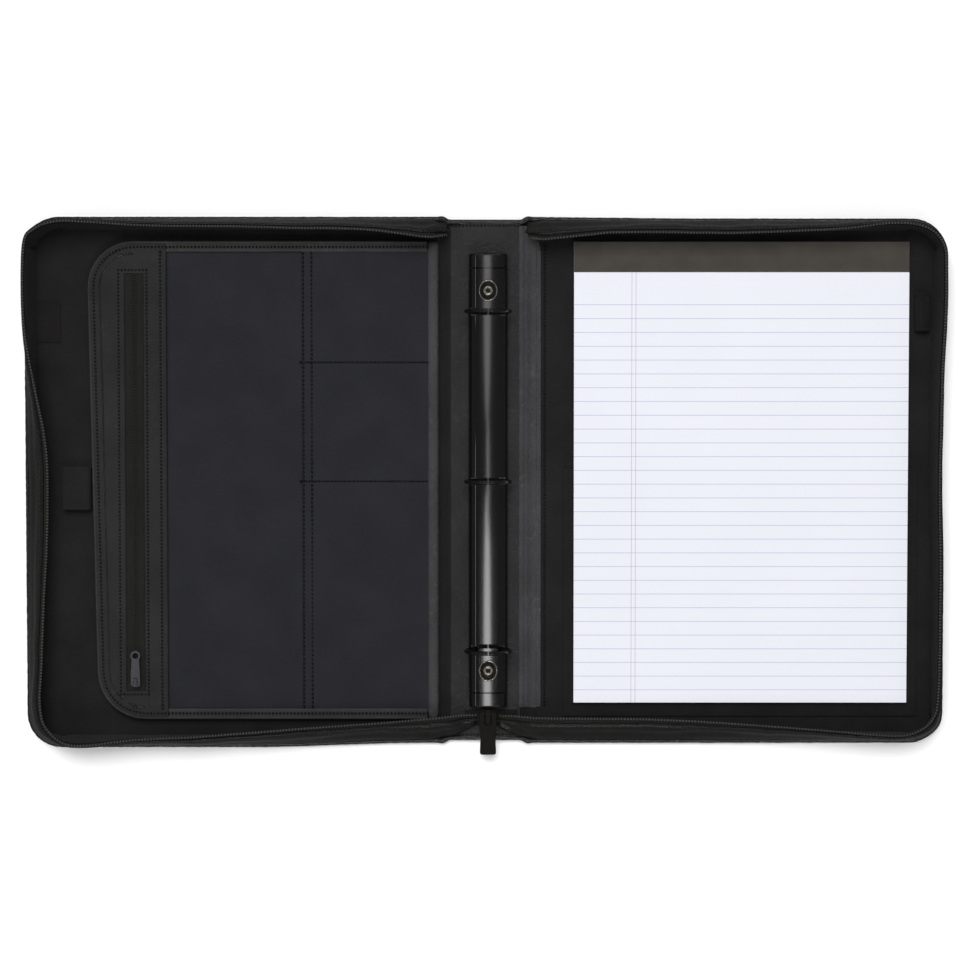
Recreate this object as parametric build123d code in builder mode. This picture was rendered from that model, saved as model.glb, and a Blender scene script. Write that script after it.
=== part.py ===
"""Zippered three-ring binder portfolio case, lying open and flat.

Units are millimetres. +Z is up and the outer skins rest on Z = 0. The origin is the middle of
the spine's underside. -X is the front cover with the organizer, +X the back cover with the
writing pad, and +Y the top of the pages.
"""

import os

from build123d import *

# ---- the case -------------------------------------------------------------------------------
CASE_HALF_WIDTH = 295.0  # spine middle to a cover's outer edge
CASE_HALF_HEIGHT = 170.5
CORNER_RADIUS = 22.0
CREASE_X = 27.0  # fold line, which is half the closed thickness
CREASE_GAP = 0.25  # each side of the fold line, at the outer face
CREASE_CUT_HEIGHT = 8.0
CREASE_CUT_MARGIN = 1.0  # how far the cut reaches past the layer it bevels

# cover layers, from the table up
SKIN_TOP = 0.8
FOAM_TOP = 1.8
BOARD_TOP = 3.4
LINING_TOP = 4.0
BINDING_WIDTH = 3.0
BINDING_BOTTOM = 0.2
BINDING_TOP = 4.2
BINDING_ROUND = 1.8

# zip gusset round three sides of each cover
GUSSET_INSET = 1.2
GUSSET_THICKNESS = 1.2
GUSSET_TOP = 19.5
ZIP_TAPE_TOP = 25.0
ZIP_TEETH_TOP = 26.8
GUSSET_NEAR_X = 39.5  # where the wall stops beside the spine
GUSSET_LEAN = 15.0  # how far the wall's top leans in at the spine end
GUSSET_CORNER_RADIUS = 20.0
GUSSET_OVERCUT = 8.0

# spine
SPINE_HALF_HEIGHT = 169.0
SPINE_LINING_HALF_HEIGHT = 166.5
SPINE_BINDING_TOP = 3.8
SPINE_BINDING_HALF_LENGTH = 22.9
SPINE_BINDING_ROUND = 1.2
SPINE_BOARD_LEFT = -14.0
SPINE_BOARD_RIGHT = 22.0
SPINE_BOARD_TOP = 2.4
SPINE_TOP = 3.4  # the binder mechanism stands on this
SPINE_LINING_EDGE = 25.3
SPINE_LINING_THICKNESS = 0.6
SPINE_SLOPE = 3.0
WING_TOP = 4.6
WING_RIGHT = 35.8
WING_Y = (-144.0, 160.0)
WING_RADIUS = 7.0

# ---- ring mechanism -------------------------------------------------------------------------
RING_PITCH = 107.95  # standard three-hole spacing, 4 1/4 in
RING_X = 2.0  # the mechanism stands a little right of and above the spine's middle
RING_Y = 1.5
RING_RADIUS = 14.0
RING_WIRE_RADIUS = 1.4
RING_CENTRE_Z = SPINE_TOP + 14.7
RING_SWEEP = 150.0
RING_TIP_GAP = 0.2
PLATE_WIDTH = 25.0
PLATE_HEIGHT = 8.0
PLATE_ROUND = 6.5
PLATE_THICKNESS = 1.0
PLATE_HALF_LENGTH = 135.3
PLATE_NOTCH = 4.8
PLATE_NOTCH_INNER = 6.4
PLATE_NOTCH_FLOOR = SPINE_TOP + 1.2
BLADE_PIVOT_X = 11.1
BLADE_PIVOT_Z = SPINE_TOP + 2.2
BLADE_INNER_X = 0.4
BLADE_DROP = 0.9
BLADE_HALF_THICKNESS = 0.45
BLADE_HALF_LENGTH = 130.3
BLADE_RIVET_NOTCH = 4.2
RIVET_Y = 121.4
RIVET_OVAL = (5.85, 6.6)
RIVET_DISH_Z = SPINE_TOP + 5.6
RIVET_DISH_THICKNESS = 0.8
RIVET_RIM_TOP = SPINE_TOP + 8.2
RIVET_RIM_WIDTH = 0.5
RIVET_SHANK_RADIUS = 2.2
RIVET_HEAD_RADIUS = 3.0
RIVET_HOLE_RADIUS = 1.5
RIVET_HOLE_DEPTH = 3.0
RIVET_CLEARANCE = 0.1

# end levers
LEVER_INNER_Y = 136.0
LEVER_OUTER_Y = 145.0
LEVER_SKIRT_Z = SPINE_TOP + 3.4
LEVER_PIVOT_Y = 133.5
LEVER_PIVOT_Z = SPINE_TOP + 3.8
LEVER_BARREL_RADIUS = 1.6
LEVER_TONGUE_HALF_WIDTH = 4.0
LEVER_TONGUE_TIP_Y = 130.8
LEVER_TONGUE_THICKNESS = 1.0
LEVER_PIN_RADIUS = 0.8
LEVER_PIN_HALF_LENGTH = 11.6
LEVER_END_ROUND = 1.2
PIN_RUNNING_CLEARANCE = 0.05

# ---- zip sliders: sizes of the main one, the pocket one is a scaled copy ----------------------
SLIDER_WIDTH = 9.6
SLIDER_FRONT = 2.1  # from the pull's pivot
SLIDER_BACK = 8.4
SLIDER_FLANGE_HEIGHT = 3.0
SLIDER_FLANGE_WIDTH = 1.6
SLIDER_PLATE = 0.9
SLIDER_BRIDGE_WIDTH = 3.0
SLIDER_BRIDGE_HEIGHT = 3.2
SLIDER_BRIDGE_BACK = 7.1
SLIDER_BRIDGE_THICKNESS = 0.9
SLIDER_PIVOT_HEIGHT = 5.1
PULL_THICKNESS = 1.6
PULL_WINDOW_BACK = 7.8
PULL_WINDOW_WIDTH = 4.2
PULL_END_RADIUS = 3.2
PULL_END_SHARE = 0.45  # of the width, at most

MAIN_SLIDER = {"x": 1.9, "y": -147.2, "z": 4.2, "toward": -1, "size": 1.0}
MAIN_PULL_WIDTH = 11.0
MAIN_PULL_LENGTH = 27.0
POCKET_SLIDER = {"x": -223.8, "y": -129.0, "z": 8.0, "toward": 1, "size": 0.6}
POCKET_PULL_WIDTH = 6.5
POCKET_PULL_LENGTH = 22.0
POCKET_PULL_HOLE_RADIUS = 1.5
ZIP_TAIL_X = (-13.0, 21.0)
ZIP_TAIL_Y = (-156.6, -145.6)
ZIP_TAIL_THICKNESS = 0.5
ZIP_TAIL_COIL_HALF_WIDTH = 2.0
ZIP_TAIL_COIL_TOP = 6.6

# ---- organizer on the front cover -------------------------------------------------------------
ORGANIZER_TOP_Y = 154.6
ORGANIZER_BOTTOM_Y = -151.5
ORGANIZER_LEFT_TOP_X = -254.0
ORGANIZER_LEFT_BOTTOM_X = -248.0
ORGANIZER_RIGHT_X = -30.0
ORGANIZER_CORNER_RADIUS = 30.0
ORGANIZER_BACK_TOP = 4.8
PADDING_TOP = 6.4
NYLON_TOP = 7.2
CARD_POCKET_TOP = 8.2
BORDER_TOP = 8.4
BAND_TOP = 9.0
BAND_RIGHT_X = -203.0
BAND_CAVITY_LEFT_X = -246.0
BAND_CAVITY_RIGHT_X = -206.0
BAND_CAVITY_TOP = 7.9
BAND_CAVITY_ROUND = 26.0
BORDER_WIDTH = 7.0
PIPING_LEFT_X = -37.0
PIPING_TOP = 8.8
PIPING_ROUND = 2.0
CARD_POCKET_LEFT_X = -116.6
CARD_POCKET_SEAM = 1.2
CARD_POCKET_SEAMS_Y = (77.3, 1.3)
ZIP_WINDOW_X = -223.8
ZIP_WINDOW_WIDTH = 11.5
ZIP_WINDOW_Y = (-133.0, 133.6)
POCKET_TAPE_MARGIN = 3.0
POCKET_TAPE_BOTTOM = 7.4
POCKET_COIL_WIDTH = 3.0
POCKET_COIL_TOP = 8.9
POCKET_BAG_TOP = 7.35

# pen loops, one on each cover, and the flat elastic patch on the front one
LOOP_THICKNESS = 1.2
FRONT_LOOP = {"x": -261.2, "y": -3.0, "width": 18.8, "height": 6.2, "round": 5.0, "length": 28.0}
BACK_LOOP = {"x": 279.6, "y": 109.5, "width": 11.6, "height": 9.0, "round": 5.2, "length": 25.0}
PATCH_X = (-289.0, -271.0)
PATCH_Y = (90.0, 116.0)
PATCH_TOP = 5.2

# ---- writing pad on the back cover --------------------------------------------------------------
PAD_X = (56.8, 270.2)
PAD_Y = (-140.6, 154.0)
PAD_BACKING_BOTTOM = 4.05
PAD_BACKING_TOP = 4.65
PAD_POCKET_X = (50.0, 277.0)
PAD_POCKET_Y = (-150.0, 10.0)
PAD_POCKET_BOTTOM = 4.7
PAD_POCKET_TOP = 5.2
PAD_BLOCK_BOTTOM = 5.25
PAD_BLOCK_TOP = 8.2
HEADER_BOTTOM_Y = 134.9
HEADER_TOP = 8.7
PAGE_BOTTOM = 8.5
PAGE_TOP = 8.75
PAGE_HEADER_GAP = 0.4

os.makedirs("parts", exist_ok=True)


def save(builder, label):
    """Names a finished sub-part and writes its STEP file."""
    builder.part.label = label
    export_step(builder.part, f"parts/{label}.step")


def slab(x_range, y_range, z_range, mode=Mode.ADD):
    """A rectangular block between two corners."""
    sizes = [high - low for low, high in (x_range, y_range, z_range)]
    middle = [(high + low) / 2 for low, high in (x_range, y_range, z_range)]
    with Locations(tuple(middle)):
        Box(*sizes, mode=mode)


def section_at(y):
    """The plane of a cross-section at a given Y, drawn in X and Z. It extrudes towards -Y."""
    return Plane.XZ.offset(-y)


def cover_face(side, z, inset):
    """A cover's outline: square at the crease, rounded at its outer corners."""
    far = CASE_HALF_WIDTH - inset
    with BuildSketch(Plane.XY.offset(z)) as outline:
        with Locations((side * (CREASE_X + far) / 2, 0)):
            Rectangle(far - CREASE_X, 2 * (CASE_HALF_HEIGHT - inset))
        outer_corners = outline.vertices().group_by(Axis.X)[-1 if side > 0 else 0]
        fillet(outer_corners, CORNER_RADIUS - inset)
    return outline.sketch


def cut_crease(side):
    """Bevels a cover layer at 45 degrees to the fold line, so that the cover can close."""
    foot = CREASE_X + CREASE_GAP
    wedge = [
        (side * (CREASE_X - CREASE_CUT_MARGIN), -CREASE_CUT_MARGIN),
        (side * (foot - CREASE_CUT_MARGIN), -CREASE_CUT_MARGIN),
        (side * (foot + CREASE_CUT_HEIGHT), CREASE_CUT_HEIGHT),
        (side * (CREASE_X - CREASE_CUT_MARGIN), CREASE_CUT_HEIGHT),
    ]
    with BuildSketch(Plane.XZ) as section:
        Polygon(*wedge, align=None)
    extrude(section.sketch, amount=CASE_HALF_HEIGHT + 1, both=True, mode=Mode.SUBTRACT)


def gusset_face(side, z, inset):
    """The gusset's plan at one height: its spine end leans in, its outer corners stand upright."""
    lean = GUSSET_LEAN * (z - BINDING_TOP) / (ZIP_TEETH_TOP - BINDING_TOP)
    far = CASE_HALF_WIDTH - GUSSET_INSET
    tall = CASE_HALF_HEIGHT - GUSSET_INSET
    slope = lean / (far - GUSSET_NEAR_X)
    near = GUSSET_NEAR_X - (GUSSET_OVERCUT if inset else 0)
    near_y = tall - slope * (far - near) - inset
    far_y = tall - inset
    points = [
        (side * near, -near_y),
        (side * (far - inset), -far_y),
        (side * (far - inset), far_y),
        (side * near, near_y),
    ]
    with BuildSketch(Plane.XY.offset(z)) as plan:
        Polygon(*points, align=None)
        outer_corners = plan.vertices().group_by(Axis.X)[-1 if side > 0 else 0]
        fillet(outer_corners, GUSSET_CORNER_RADIUS - inset)
    return plan.sketch


def gusset_slice(side, bottom, top):
    """One height band of the wall that runs round three sides of a cover."""
    outer = [gusset_face(side, z, 0) for z in (bottom, top)]
    inner = [gusset_face(side, z, GUSSET_THICKNESS) for z in (bottom, top)]
    loft(outer, ruled=True)
    loft(inner, ruled=True, mode=Mode.SUBTRACT)
    near = side * GUSSET_NEAR_X
    beyond = side * (GUSSET_NEAR_X - 2 * GUSSET_OVERCUT)
    slab(sorted((near, beyond)), (-CASE_HALF_HEIGHT, CASE_HALF_HEIGHT), (bottom, top), Mode.SUBTRACT)


def arch_face(plane, x, foot_z, width, height, radius):
    """An arch-shaped face: flat foot, rounded shoulders."""
    with BuildSketch(plane) as arch:
        with Locations((x, foot_z + height / 2)):
            Rectangle(width, height)
        fillet(arch.vertices().group_by(Axis.Y)[-1], radius)
    return arch.sketch


# ---- covers -------------------------------------------------------------------------------------


def build_cover(side, name):
    """The layers, edge binding and zip gusset that the two covers have alike."""
    with BuildPart() as skin:
        extrude(cover_face(side, 0, BINDING_WIDTH), amount=SKIN_TOP)
        cut_crease(side)
    save(skin, f"{name}_skin")

    with BuildPart() as foam:
        extrude(cover_face(side, SKIN_TOP, BINDING_WIDTH), amount=FOAM_TOP - SKIN_TOP)
        cut_crease(side)
    save(foam, f"{name}_foam")

    with BuildPart() as board:
        extrude(cover_face(side, FOAM_TOP, BINDING_WIDTH), amount=BOARD_TOP - FOAM_TOP)
        cut_crease(side)
    save(board, f"{name}_board")

    with BuildPart() as lining:
        extrude(cover_face(side, BOARD_TOP, BINDING_WIDTH), amount=LINING_TOP - BOARD_TOP)
        cut_crease(side)
    save(lining, f"{name}_lining")

    with BuildPart() as binding:
        height = BINDING_TOP - BINDING_BOTTOM
        extrude(cover_face(side, BINDING_BOTTOM, 0), amount=height)
        rims = binding.edges().filter_by(Plane.XY)
        free_rims = rims.filter_by(lambda e: abs(e.center().X) > CREASE_X + 1)
        fillet(free_rims, BINDING_ROUND)
        inside = cover_face(side, BINDING_BOTTOM, BINDING_WIDTH)
        extrude(inside, amount=height, mode=Mode.SUBTRACT)
        cut_crease(side)
    save(binding, f"{name}_binding")

    with BuildPart() as gusset:
        gusset_slice(side, BINDING_TOP, GUSSET_TOP)
    save(gusset, f"{name}_gusset")

    with BuildPart() as tape:
        gusset_slice(side, GUSSET_TOP, ZIP_TAPE_TOP)
    save(tape, f"{name}_zip_tape")

    with BuildPart() as teeth:
        gusset_slice(side, ZIP_TAPE_TOP, ZIP_TEETH_TOP)
    save(teeth, f"{name}_zip_teeth")


build_cover(-1, "front")
build_cover(1, "back")

# ---- spine --------------------------------------------------------------------------------------

with BuildPart() as spine_skin:
    foot = CREASE_X - CREASE_GAP
    with BuildSketch(Plane.XZ):
        Polygon(
            (-foot, 0),
            (foot, 0),
            (foot - SKIN_TOP, SKIN_TOP),
            (SKIN_TOP - foot, SKIN_TOP),
            align=None,
        )
    extrude(amount=SPINE_HALF_HEIGHT, both=True)
save(spine_skin, "spine_skin")

with BuildPart() as spine_board:
    slab(
        (SPINE_BOARD_LEFT, SPINE_BOARD_RIGHT),
        (-SPINE_LINING_HALF_HEIGHT, SPINE_LINING_HALF_HEIGHT),
        (SKIN_TOP, SPINE_BOARD_TOP),
    )
save(spine_board, "spine_board")

# the leatherette carrier drapes over the board and comes down to the skin on both sides
with BuildPart() as spine_lining:
    low_top = SKIN_TOP + SPINE_LINING_THICKNESS
    with BuildSketch(Plane.XZ):
        Polygon(
            (-SPINE_LINING_EDGE, SKIN_TOP),
            (SPINE_BOARD_LEFT, SKIN_TOP),
            (SPINE_BOARD_LEFT, SPINE_BOARD_TOP),
            (SPINE_BOARD_RIGHT, SPINE_BOARD_TOP),
            (SPINE_BOARD_RIGHT, SKIN_TOP),
            (SPINE_LINING_EDGE, SKIN_TOP),
            (SPINE_LINING_EDGE, low_top),
            (SPINE_BOARD_RIGHT + SPINE_SLOPE / 2, low_top),
            (SPINE_BOARD_RIGHT + SPINE_SLOPE / 6, SPINE_TOP),
            (SPINE_BOARD_LEFT - SPINE_SLOPE / 6, SPINE_TOP),
            (SPINE_BOARD_LEFT - SPINE_SLOPE, low_top),
            (-SPINE_LINING_EDGE, low_top),
            align=None,
        )
    extrude(amount=SPINE_LINING_HALF_HEIGHT, both=True)
save(spine_lining, "spine_lining")

# the turned and sewn edges at the spine's two ends
with BuildPart() as spine_binding:
    for end in (-1, 1):
        slab(
            (-SPINE_BINDING_HALF_LENGTH, SPINE_BINDING_HALF_LENGTH),
            sorted((end * SPINE_LINING_HALF_HEIGHT, end * SPINE_HALF_HEIGHT)),
            (SKIN_TOP, SPINE_BINDING_TOP),
        )
    top_edges = spine_binding.faces().group_by(Axis.Z)[-1].edges().filter_by(Axis.X)
    fillet(top_edges, SPINE_BINDING_ROUND)
save(spine_binding, "spine_binding")

# the carrier's right-hand hem, which is sewn down to the back cover
with BuildPart() as spine_wing:
    with BuildSketch(Plane.XY.offset(LINING_TOP)) as hem:
        with Locations(((CREASE_X + WING_RIGHT) / 2, sum(WING_Y) / 2)):
            Rectangle(WING_RIGHT - CREASE_X, WING_Y[1] - WING_Y[0])
        fillet(hem.vertices().group_by(Axis.X)[-1].sort_by(Axis.Y)[-1], WING_RADIUS)
    extrude(amount=WING_TOP - LINING_TOP)
    cut_crease(1)
save(spine_wing, "spine_wing")

# ---- ring mechanism -----------------------------------------------------------------------------

RING_YS = [RING_Y + step * RING_PITCH for step in (-1, 0, 1)]
RIVET_CENTRES = [(RING_X, RING_Y + end * RIVET_Y) for end in (-1, 1)]


def plate_section(y, inset):
    """The cover plate's arched section at a given Y, or its hollow at an inset."""
    return arch_face(
        section_at(y),
        RING_X,
        SPINE_TOP,
        PLATE_WIDTH - 2 * inset,
        PLATE_HEIGHT - inset,
        PLATE_ROUND - inset,
    )


with BuildPart() as ring_cover_plate:
    extrude(plate_section(RING_Y, 0), amount=PLATE_HALF_LENGTH, both=True)
    extrude(
        plate_section(RING_Y, PLATE_THICKNESS),
        amount=PLATE_HALF_LENGTH,
        both=True,
        mode=Mode.SUBTRACT,
    )
    for ring_y in RING_YS:
        for side in (-1, 1):
            notch_x = sorted((RING_X + side * PLATE_NOTCH_INNER, RING_X + side * PLATE_WIDTH))
            slab(
                notch_x,
                (ring_y - PLATE_NOTCH / 2, ring_y + PLATE_NOTCH / 2),
                (PLATE_NOTCH_FLOOR, SPINE_TOP + PLATE_HEIGHT + 1),
                Mode.SUBTRACT,
            )
    with BuildSketch(Plane.XY.offset(SPINE_TOP + PLATE_HEIGHT / 2)):
        with Locations(*RIVET_CENTRES):
            Ellipse(RIVET_OVAL[0] + RIVET_CLEARANCE, RIVET_OVAL[1] + RIVET_CLEARANCE)
    extrude(amount=PLATE_HEIGHT, mode=Mode.SUBTRACT)
    for end in (-1, 1):
        with Locations(
            Location((RING_X, RING_Y + end * LEVER_PIVOT_Y, LEVER_PIVOT_Z), (0, 90, 0))
        ):
            Cylinder(LEVER_PIN_RADIUS, PLATE_WIDTH + 2, mode=Mode.SUBTRACT)
save(ring_cover_plate, "ring_cover_plate")

# hollow rivets, each in an oval dish let into the cover plate
with BuildPart() as plate_rivets:
    with BuildSketch(Plane.XY.offset(SPINE_TOP)):
        with Locations(*RIVET_CENTRES):
            Circle(RIVET_SHANK_RADIUS)
    extrude(amount=RIVET_DISH_Z - SPINE_TOP)
    with BuildSketch(Plane.XY.offset(RIVET_DISH_Z)):
        with Locations(*RIVET_CENTRES):
            Ellipse(*RIVET_OVAL)
    extrude(amount=RIVET_RIM_TOP - RIVET_DISH_Z)
    with BuildSketch(Plane.XY.offset(RIVET_DISH_Z + RIVET_DISH_THICKNESS)):
        with Locations(*RIVET_CENTRES):
            Ellipse(RIVET_OVAL[0] - RIVET_RIM_WIDTH, RIVET_OVAL[1] - RIVET_RIM_WIDTH)
            Circle(RIVET_HEAD_RADIUS, mode=Mode.SUBTRACT)
    extrude(amount=PLATE_HEIGHT, mode=Mode.SUBTRACT)
    with BuildSketch(Plane.XY.offset(RIVET_RIM_TOP)):
        with Locations(*RIVET_CENTRES):
            Circle(RIVET_HOLE_RADIUS)
    extrude(amount=-RIVET_HOLE_DEPTH, mode=Mode.SUBTRACT)
save(plate_rivets, "plate_rivets")


def build_ring_side(side, name):
    """One snap blade and the three half rings riveted to it."""
    with BuildPart() as blade:
        outer = (RING_X + side * BLADE_PIVOT_X, BLADE_PIVOT_Z)
        inner = (RING_X + side * BLADE_INNER_X, BLADE_PIVOT_Z - BLADE_DROP)
        with BuildSketch(section_at(RING_Y)):
            Polygon(
                (outer[0], outer[1] - BLADE_HALF_THICKNESS),
                (outer[0], outer[1] + BLADE_HALF_THICKNESS),
                (inner[0], inner[1] + BLADE_HALF_THICKNESS),
                (inner[0], inner[1] - BLADE_HALF_THICKNESS),
                align=None,
            )
        extrude(amount=BLADE_HALF_LENGTH, both=True)
        with BuildSketch(Plane.XY.offset(SPINE_TOP)):
            with Locations(*RIVET_CENTRES):
                Circle(BLADE_RIVET_NOTCH)
        extrude(amount=PLATE_HEIGHT, mode=Mode.SUBTRACT)
    save(blade, f"blade_{name}")

    with BuildPart() as half_rings:
        for ring_y in RING_YS:
            tip = Plane(
                origin=(RING_X + side * RING_TIP_GAP, ring_y, RING_CENTRE_Z + RING_RADIUS),
                x_dir=(0, 1, 0),
                z_dir=(1, 0, 0),
            )
            with BuildSketch(tip):
                Circle(RING_WIRE_RADIUS)
            revolve(
                axis=Axis((RING_X, ring_y, RING_CENTRE_Z), (0, side, 0)),
                revolution_arc=RING_SWEEP,
            )
    save(half_rings, f"half_rings_{name}")


build_ring_side(-1, "left")
build_ring_side(1, "right")


def build_lever(end, name):
    """An end lever: a hood over the plate's end, with a tongue on a cross pin under the plate."""
    length = LEVER_OUTER_Y - LEVER_INNER_Y
    inner_y = RING_Y + end * LEVER_INNER_Y
    outer_y = RING_Y + end * LEVER_OUTER_Y
    tongue_tip_y = RING_Y + end * LEVER_TONGUE_TIP_Y
    pivot = Location((RING_X, RING_Y + end * LEVER_PIVOT_Y, LEVER_PIVOT_Z), (0, 90, 0))
    with BuildPart() as lever:
        extrude(plate_section(inner_y, 0), amount=-end * length)
        slab(
            (RING_X - PLATE_WIDTH, RING_X + PLATE_WIDTH),
            sorted((inner_y - end, outer_y + end)),
            (0, LEVER_SKIRT_Z),
            Mode.SUBTRACT,
        )
        end_face = lever.faces().sort_by(Axis.Y)[-1 if end > 0 else 0]
        fillet(end_face.edges().filter_by(lambda e: e.center().Z > LEVER_SKIRT_Z), LEVER_END_ROUND)
        hollow = plate_section(inner_y, PLATE_THICKNESS)
        extrude(hollow, amount=-end * (length - PLATE_THICKNESS), mode=Mode.SUBTRACT)
        slab(
            (RING_X - LEVER_TONGUE_HALF_WIDTH, RING_X + LEVER_TONGUE_HALF_WIDTH),
            sorted((tongue_tip_y, outer_y - end * PLATE_THICKNESS / 2)),
            (LEVER_SKIRT_Z, LEVER_SKIRT_Z + LEVER_TONGUE_THICKNESS),
        )
        with Locations(pivot):
            Cylinder(LEVER_BARREL_RADIUS, 2 * LEVER_TONGUE_HALF_WIDTH)
            Cylinder(
                LEVER_PIN_RADIUS + PIN_RUNNING_CLEARANCE,
                2 * PLATE_WIDTH,
                mode=Mode.SUBTRACT,
            )
    save(lever, f"lever_{name}")

    with BuildPart() as pin:
        with Locations(pivot):
            Cylinder(LEVER_PIN_RADIUS, 2 * LEVER_PIN_HALF_LENGTH)
    save(pin, f"lever_pin_{name}")


build_lever(1, "top")
build_lever(-1, "bottom")

# ---- zip sliders and pulls ----------------------------------------------------------------------


def slider_slab(place, x_range, back_range, z_range, mode=Mode.ADD):
    """A block of a slider. Distances are from its pivot, scaled, and run back along its pull."""
    size = place["size"]
    toward = place["toward"]
    xs = [place["x"] + size * x for x in x_range]
    ys = sorted(place["y"] + toward * size * y for y in back_range)
    zs = [place["z"] + size * z for z in z_range]
    slab(xs, ys, zs, mode)


def build_slider(place, label):
    """A zip slider: a channel that straddles the coil, with a bridge that holds the pull."""
    half = SLIDER_WIDTH / 2
    plate_top = SLIDER_FLANGE_HEIGHT + SLIDER_PLATE
    half_bridge = SLIDER_BRIDGE_WIDTH / 2
    leg = SLIDER_BRIDGE_THICKNESS
    with BuildPart() as slider:
        slider_slab(place, (-half, half), (-SLIDER_FRONT, SLIDER_BACK), (0, plate_top))
        upright = slider.edges().filter_by(Axis.Z)
        fillet(upright, place["size"] * SLIDER_FLANGE_WIDTH)
        slider_slab(
            place,
            (SLIDER_FLANGE_WIDTH - half, half - SLIDER_FLANGE_WIDTH),
            (-2 * SLIDER_FRONT, 2 * SLIDER_BACK),
            (-1, SLIDER_FLANGE_HEIGHT),
            Mode.SUBTRACT,
        )
        slider_slab(
            place,
            (-half_bridge, half_bridge),
            (-SLIDER_FRONT, SLIDER_BRIDGE_BACK),
            (plate_top, plate_top + SLIDER_BRIDGE_HEIGHT),
        )
        slider_slab(
            place,
            (-half, half),
            (leg - SLIDER_FRONT, SLIDER_BRIDGE_BACK - leg),
            (plate_top, plate_top + SLIDER_BRIDGE_HEIGHT - leg),
            Mode.SUBTRACT,
        )
    save(slider, label)


def build_pull(place, width, length, hole_radius, label):
    """A flat pull tab: its window clears the slider's bridge, its cross bar lies under it."""
    size = place["size"]
    toward = place["toward"]
    thick = size * PULL_THICKNESS
    pivot_z = place["z"] + size * SLIDER_PIVOT_HEIGHT
    window_back = size * PULL_WINDOW_BACK
    with BuildPart() as pull:
        with BuildSketch(Plane.XY.offset(pivot_z - thick / 2)) as tab:
            with Locations((place["x"], place["y"] + toward * length / 2)):
                Rectangle(width, length)
            ends = tab.vertices().group_by(Axis.Y)[-1 if toward > 0 else 0]
            fillet(ends, min(PULL_END_RADIUS, PULL_END_SHARE * width))
            with Locations((place["x"], place["y"] + toward * window_back / 2)):
                Rectangle(size * PULL_WINDOW_WIDTH, window_back, mode=Mode.SUBTRACT)
            if hole_radius:
                with Locations((place["x"], place["y"] + toward * (length - 2 * hole_radius))):
                    Circle(hole_radius, mode=Mode.SUBTRACT)
        extrude(amount=thick)
        with Locations(Location((place["x"], place["y"], pivot_z), (0, 90, 0))):
            Cylinder(thick / 2, width)
    save(pull, label)


build_slider(MAIN_SLIDER, "zip_slider")
build_pull(MAIN_SLIDER, MAIN_PULL_WIDTH, MAIN_PULL_LENGTH, 0, "zip_pull")
build_slider(POCKET_SLIDER, "pocket_zip_slider")
build_pull(
    POCKET_SLIDER,
    POCKET_PULL_WIDTH,
    POCKET_PULL_LENGTH,
    POCKET_PULL_HOLE_RADIUS,
    "pocket_zip_pull",
)

# the joined end of the main zip, sewn to the spine under its slider
with BuildPart() as zip_tail:
    slab(ZIP_TAIL_X, ZIP_TAIL_Y, (SPINE_TOP, SPINE_TOP + ZIP_TAIL_THICKNESS))
    slab(
        (MAIN_SLIDER["x"] - ZIP_TAIL_COIL_HALF_WIDTH, MAIN_SLIDER["x"] + ZIP_TAIL_COIL_HALF_WIDTH),
        ZIP_TAIL_Y,
        (SPINE_TOP, ZIP_TAIL_COIL_TOP),
    )
save(zip_tail, "zip_tail")

# ---- organizer ------------------------------------------------------------------------------------


def organizer_face(z):
    """The organizer's outline: its left edge slants a little and its left corners are round."""
    with BuildSketch(Plane.XY.offset(z)) as outline:
        Polygon(
            (ORGANIZER_LEFT_TOP_X, ORGANIZER_TOP_Y),
            (ORGANIZER_LEFT_BOTTOM_X, ORGANIZER_BOTTOM_Y),
            (ORGANIZER_RIGHT_X, ORGANIZER_BOTTOM_Y),
            (ORGANIZER_RIGHT_X, ORGANIZER_TOP_Y),
            align=None,
        )
        left_corners = outline.vertices().sort_by(Axis.X)[:2]
        fillet(left_corners, ORGANIZER_CORNER_RADIUS)
    return outline.sketch


INNER_Y = (ORGANIZER_BOTTOM_Y + BORDER_WIDTH, ORGANIZER_TOP_Y - BORDER_WIDTH)


def filling_face(z, right_x):
    """The outline of what lies inside the leather band, rounded to follow the band's corners."""
    with BuildSketch(Plane.XY.offset(z)) as filling:
        with Locations(((BAND_CAVITY_LEFT_X + right_x) / 2, sum(INNER_Y) / 2)):
            Rectangle(right_x - BAND_CAVITY_LEFT_X, INNER_Y[1] - INNER_Y[0])
        fillet(filling.vertices().group_by(Axis.X)[0], BAND_CAVITY_ROUND)
    return filling.sketch


with BuildPart() as organizer_back:
    extrude(organizer_face(LINING_TOP), amount=ORGANIZER_BACK_TOP - LINING_TOP)
save(organizer_back, "organizer_back")

with BuildPart() as organizer_padding:
    padding_height = PADDING_TOP - ORGANIZER_BACK_TOP
    extrude(filling_face(ORGANIZER_BACK_TOP, PIPING_LEFT_X), amount=padding_height)
save(organizer_padding, "organizer_padding")

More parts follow.
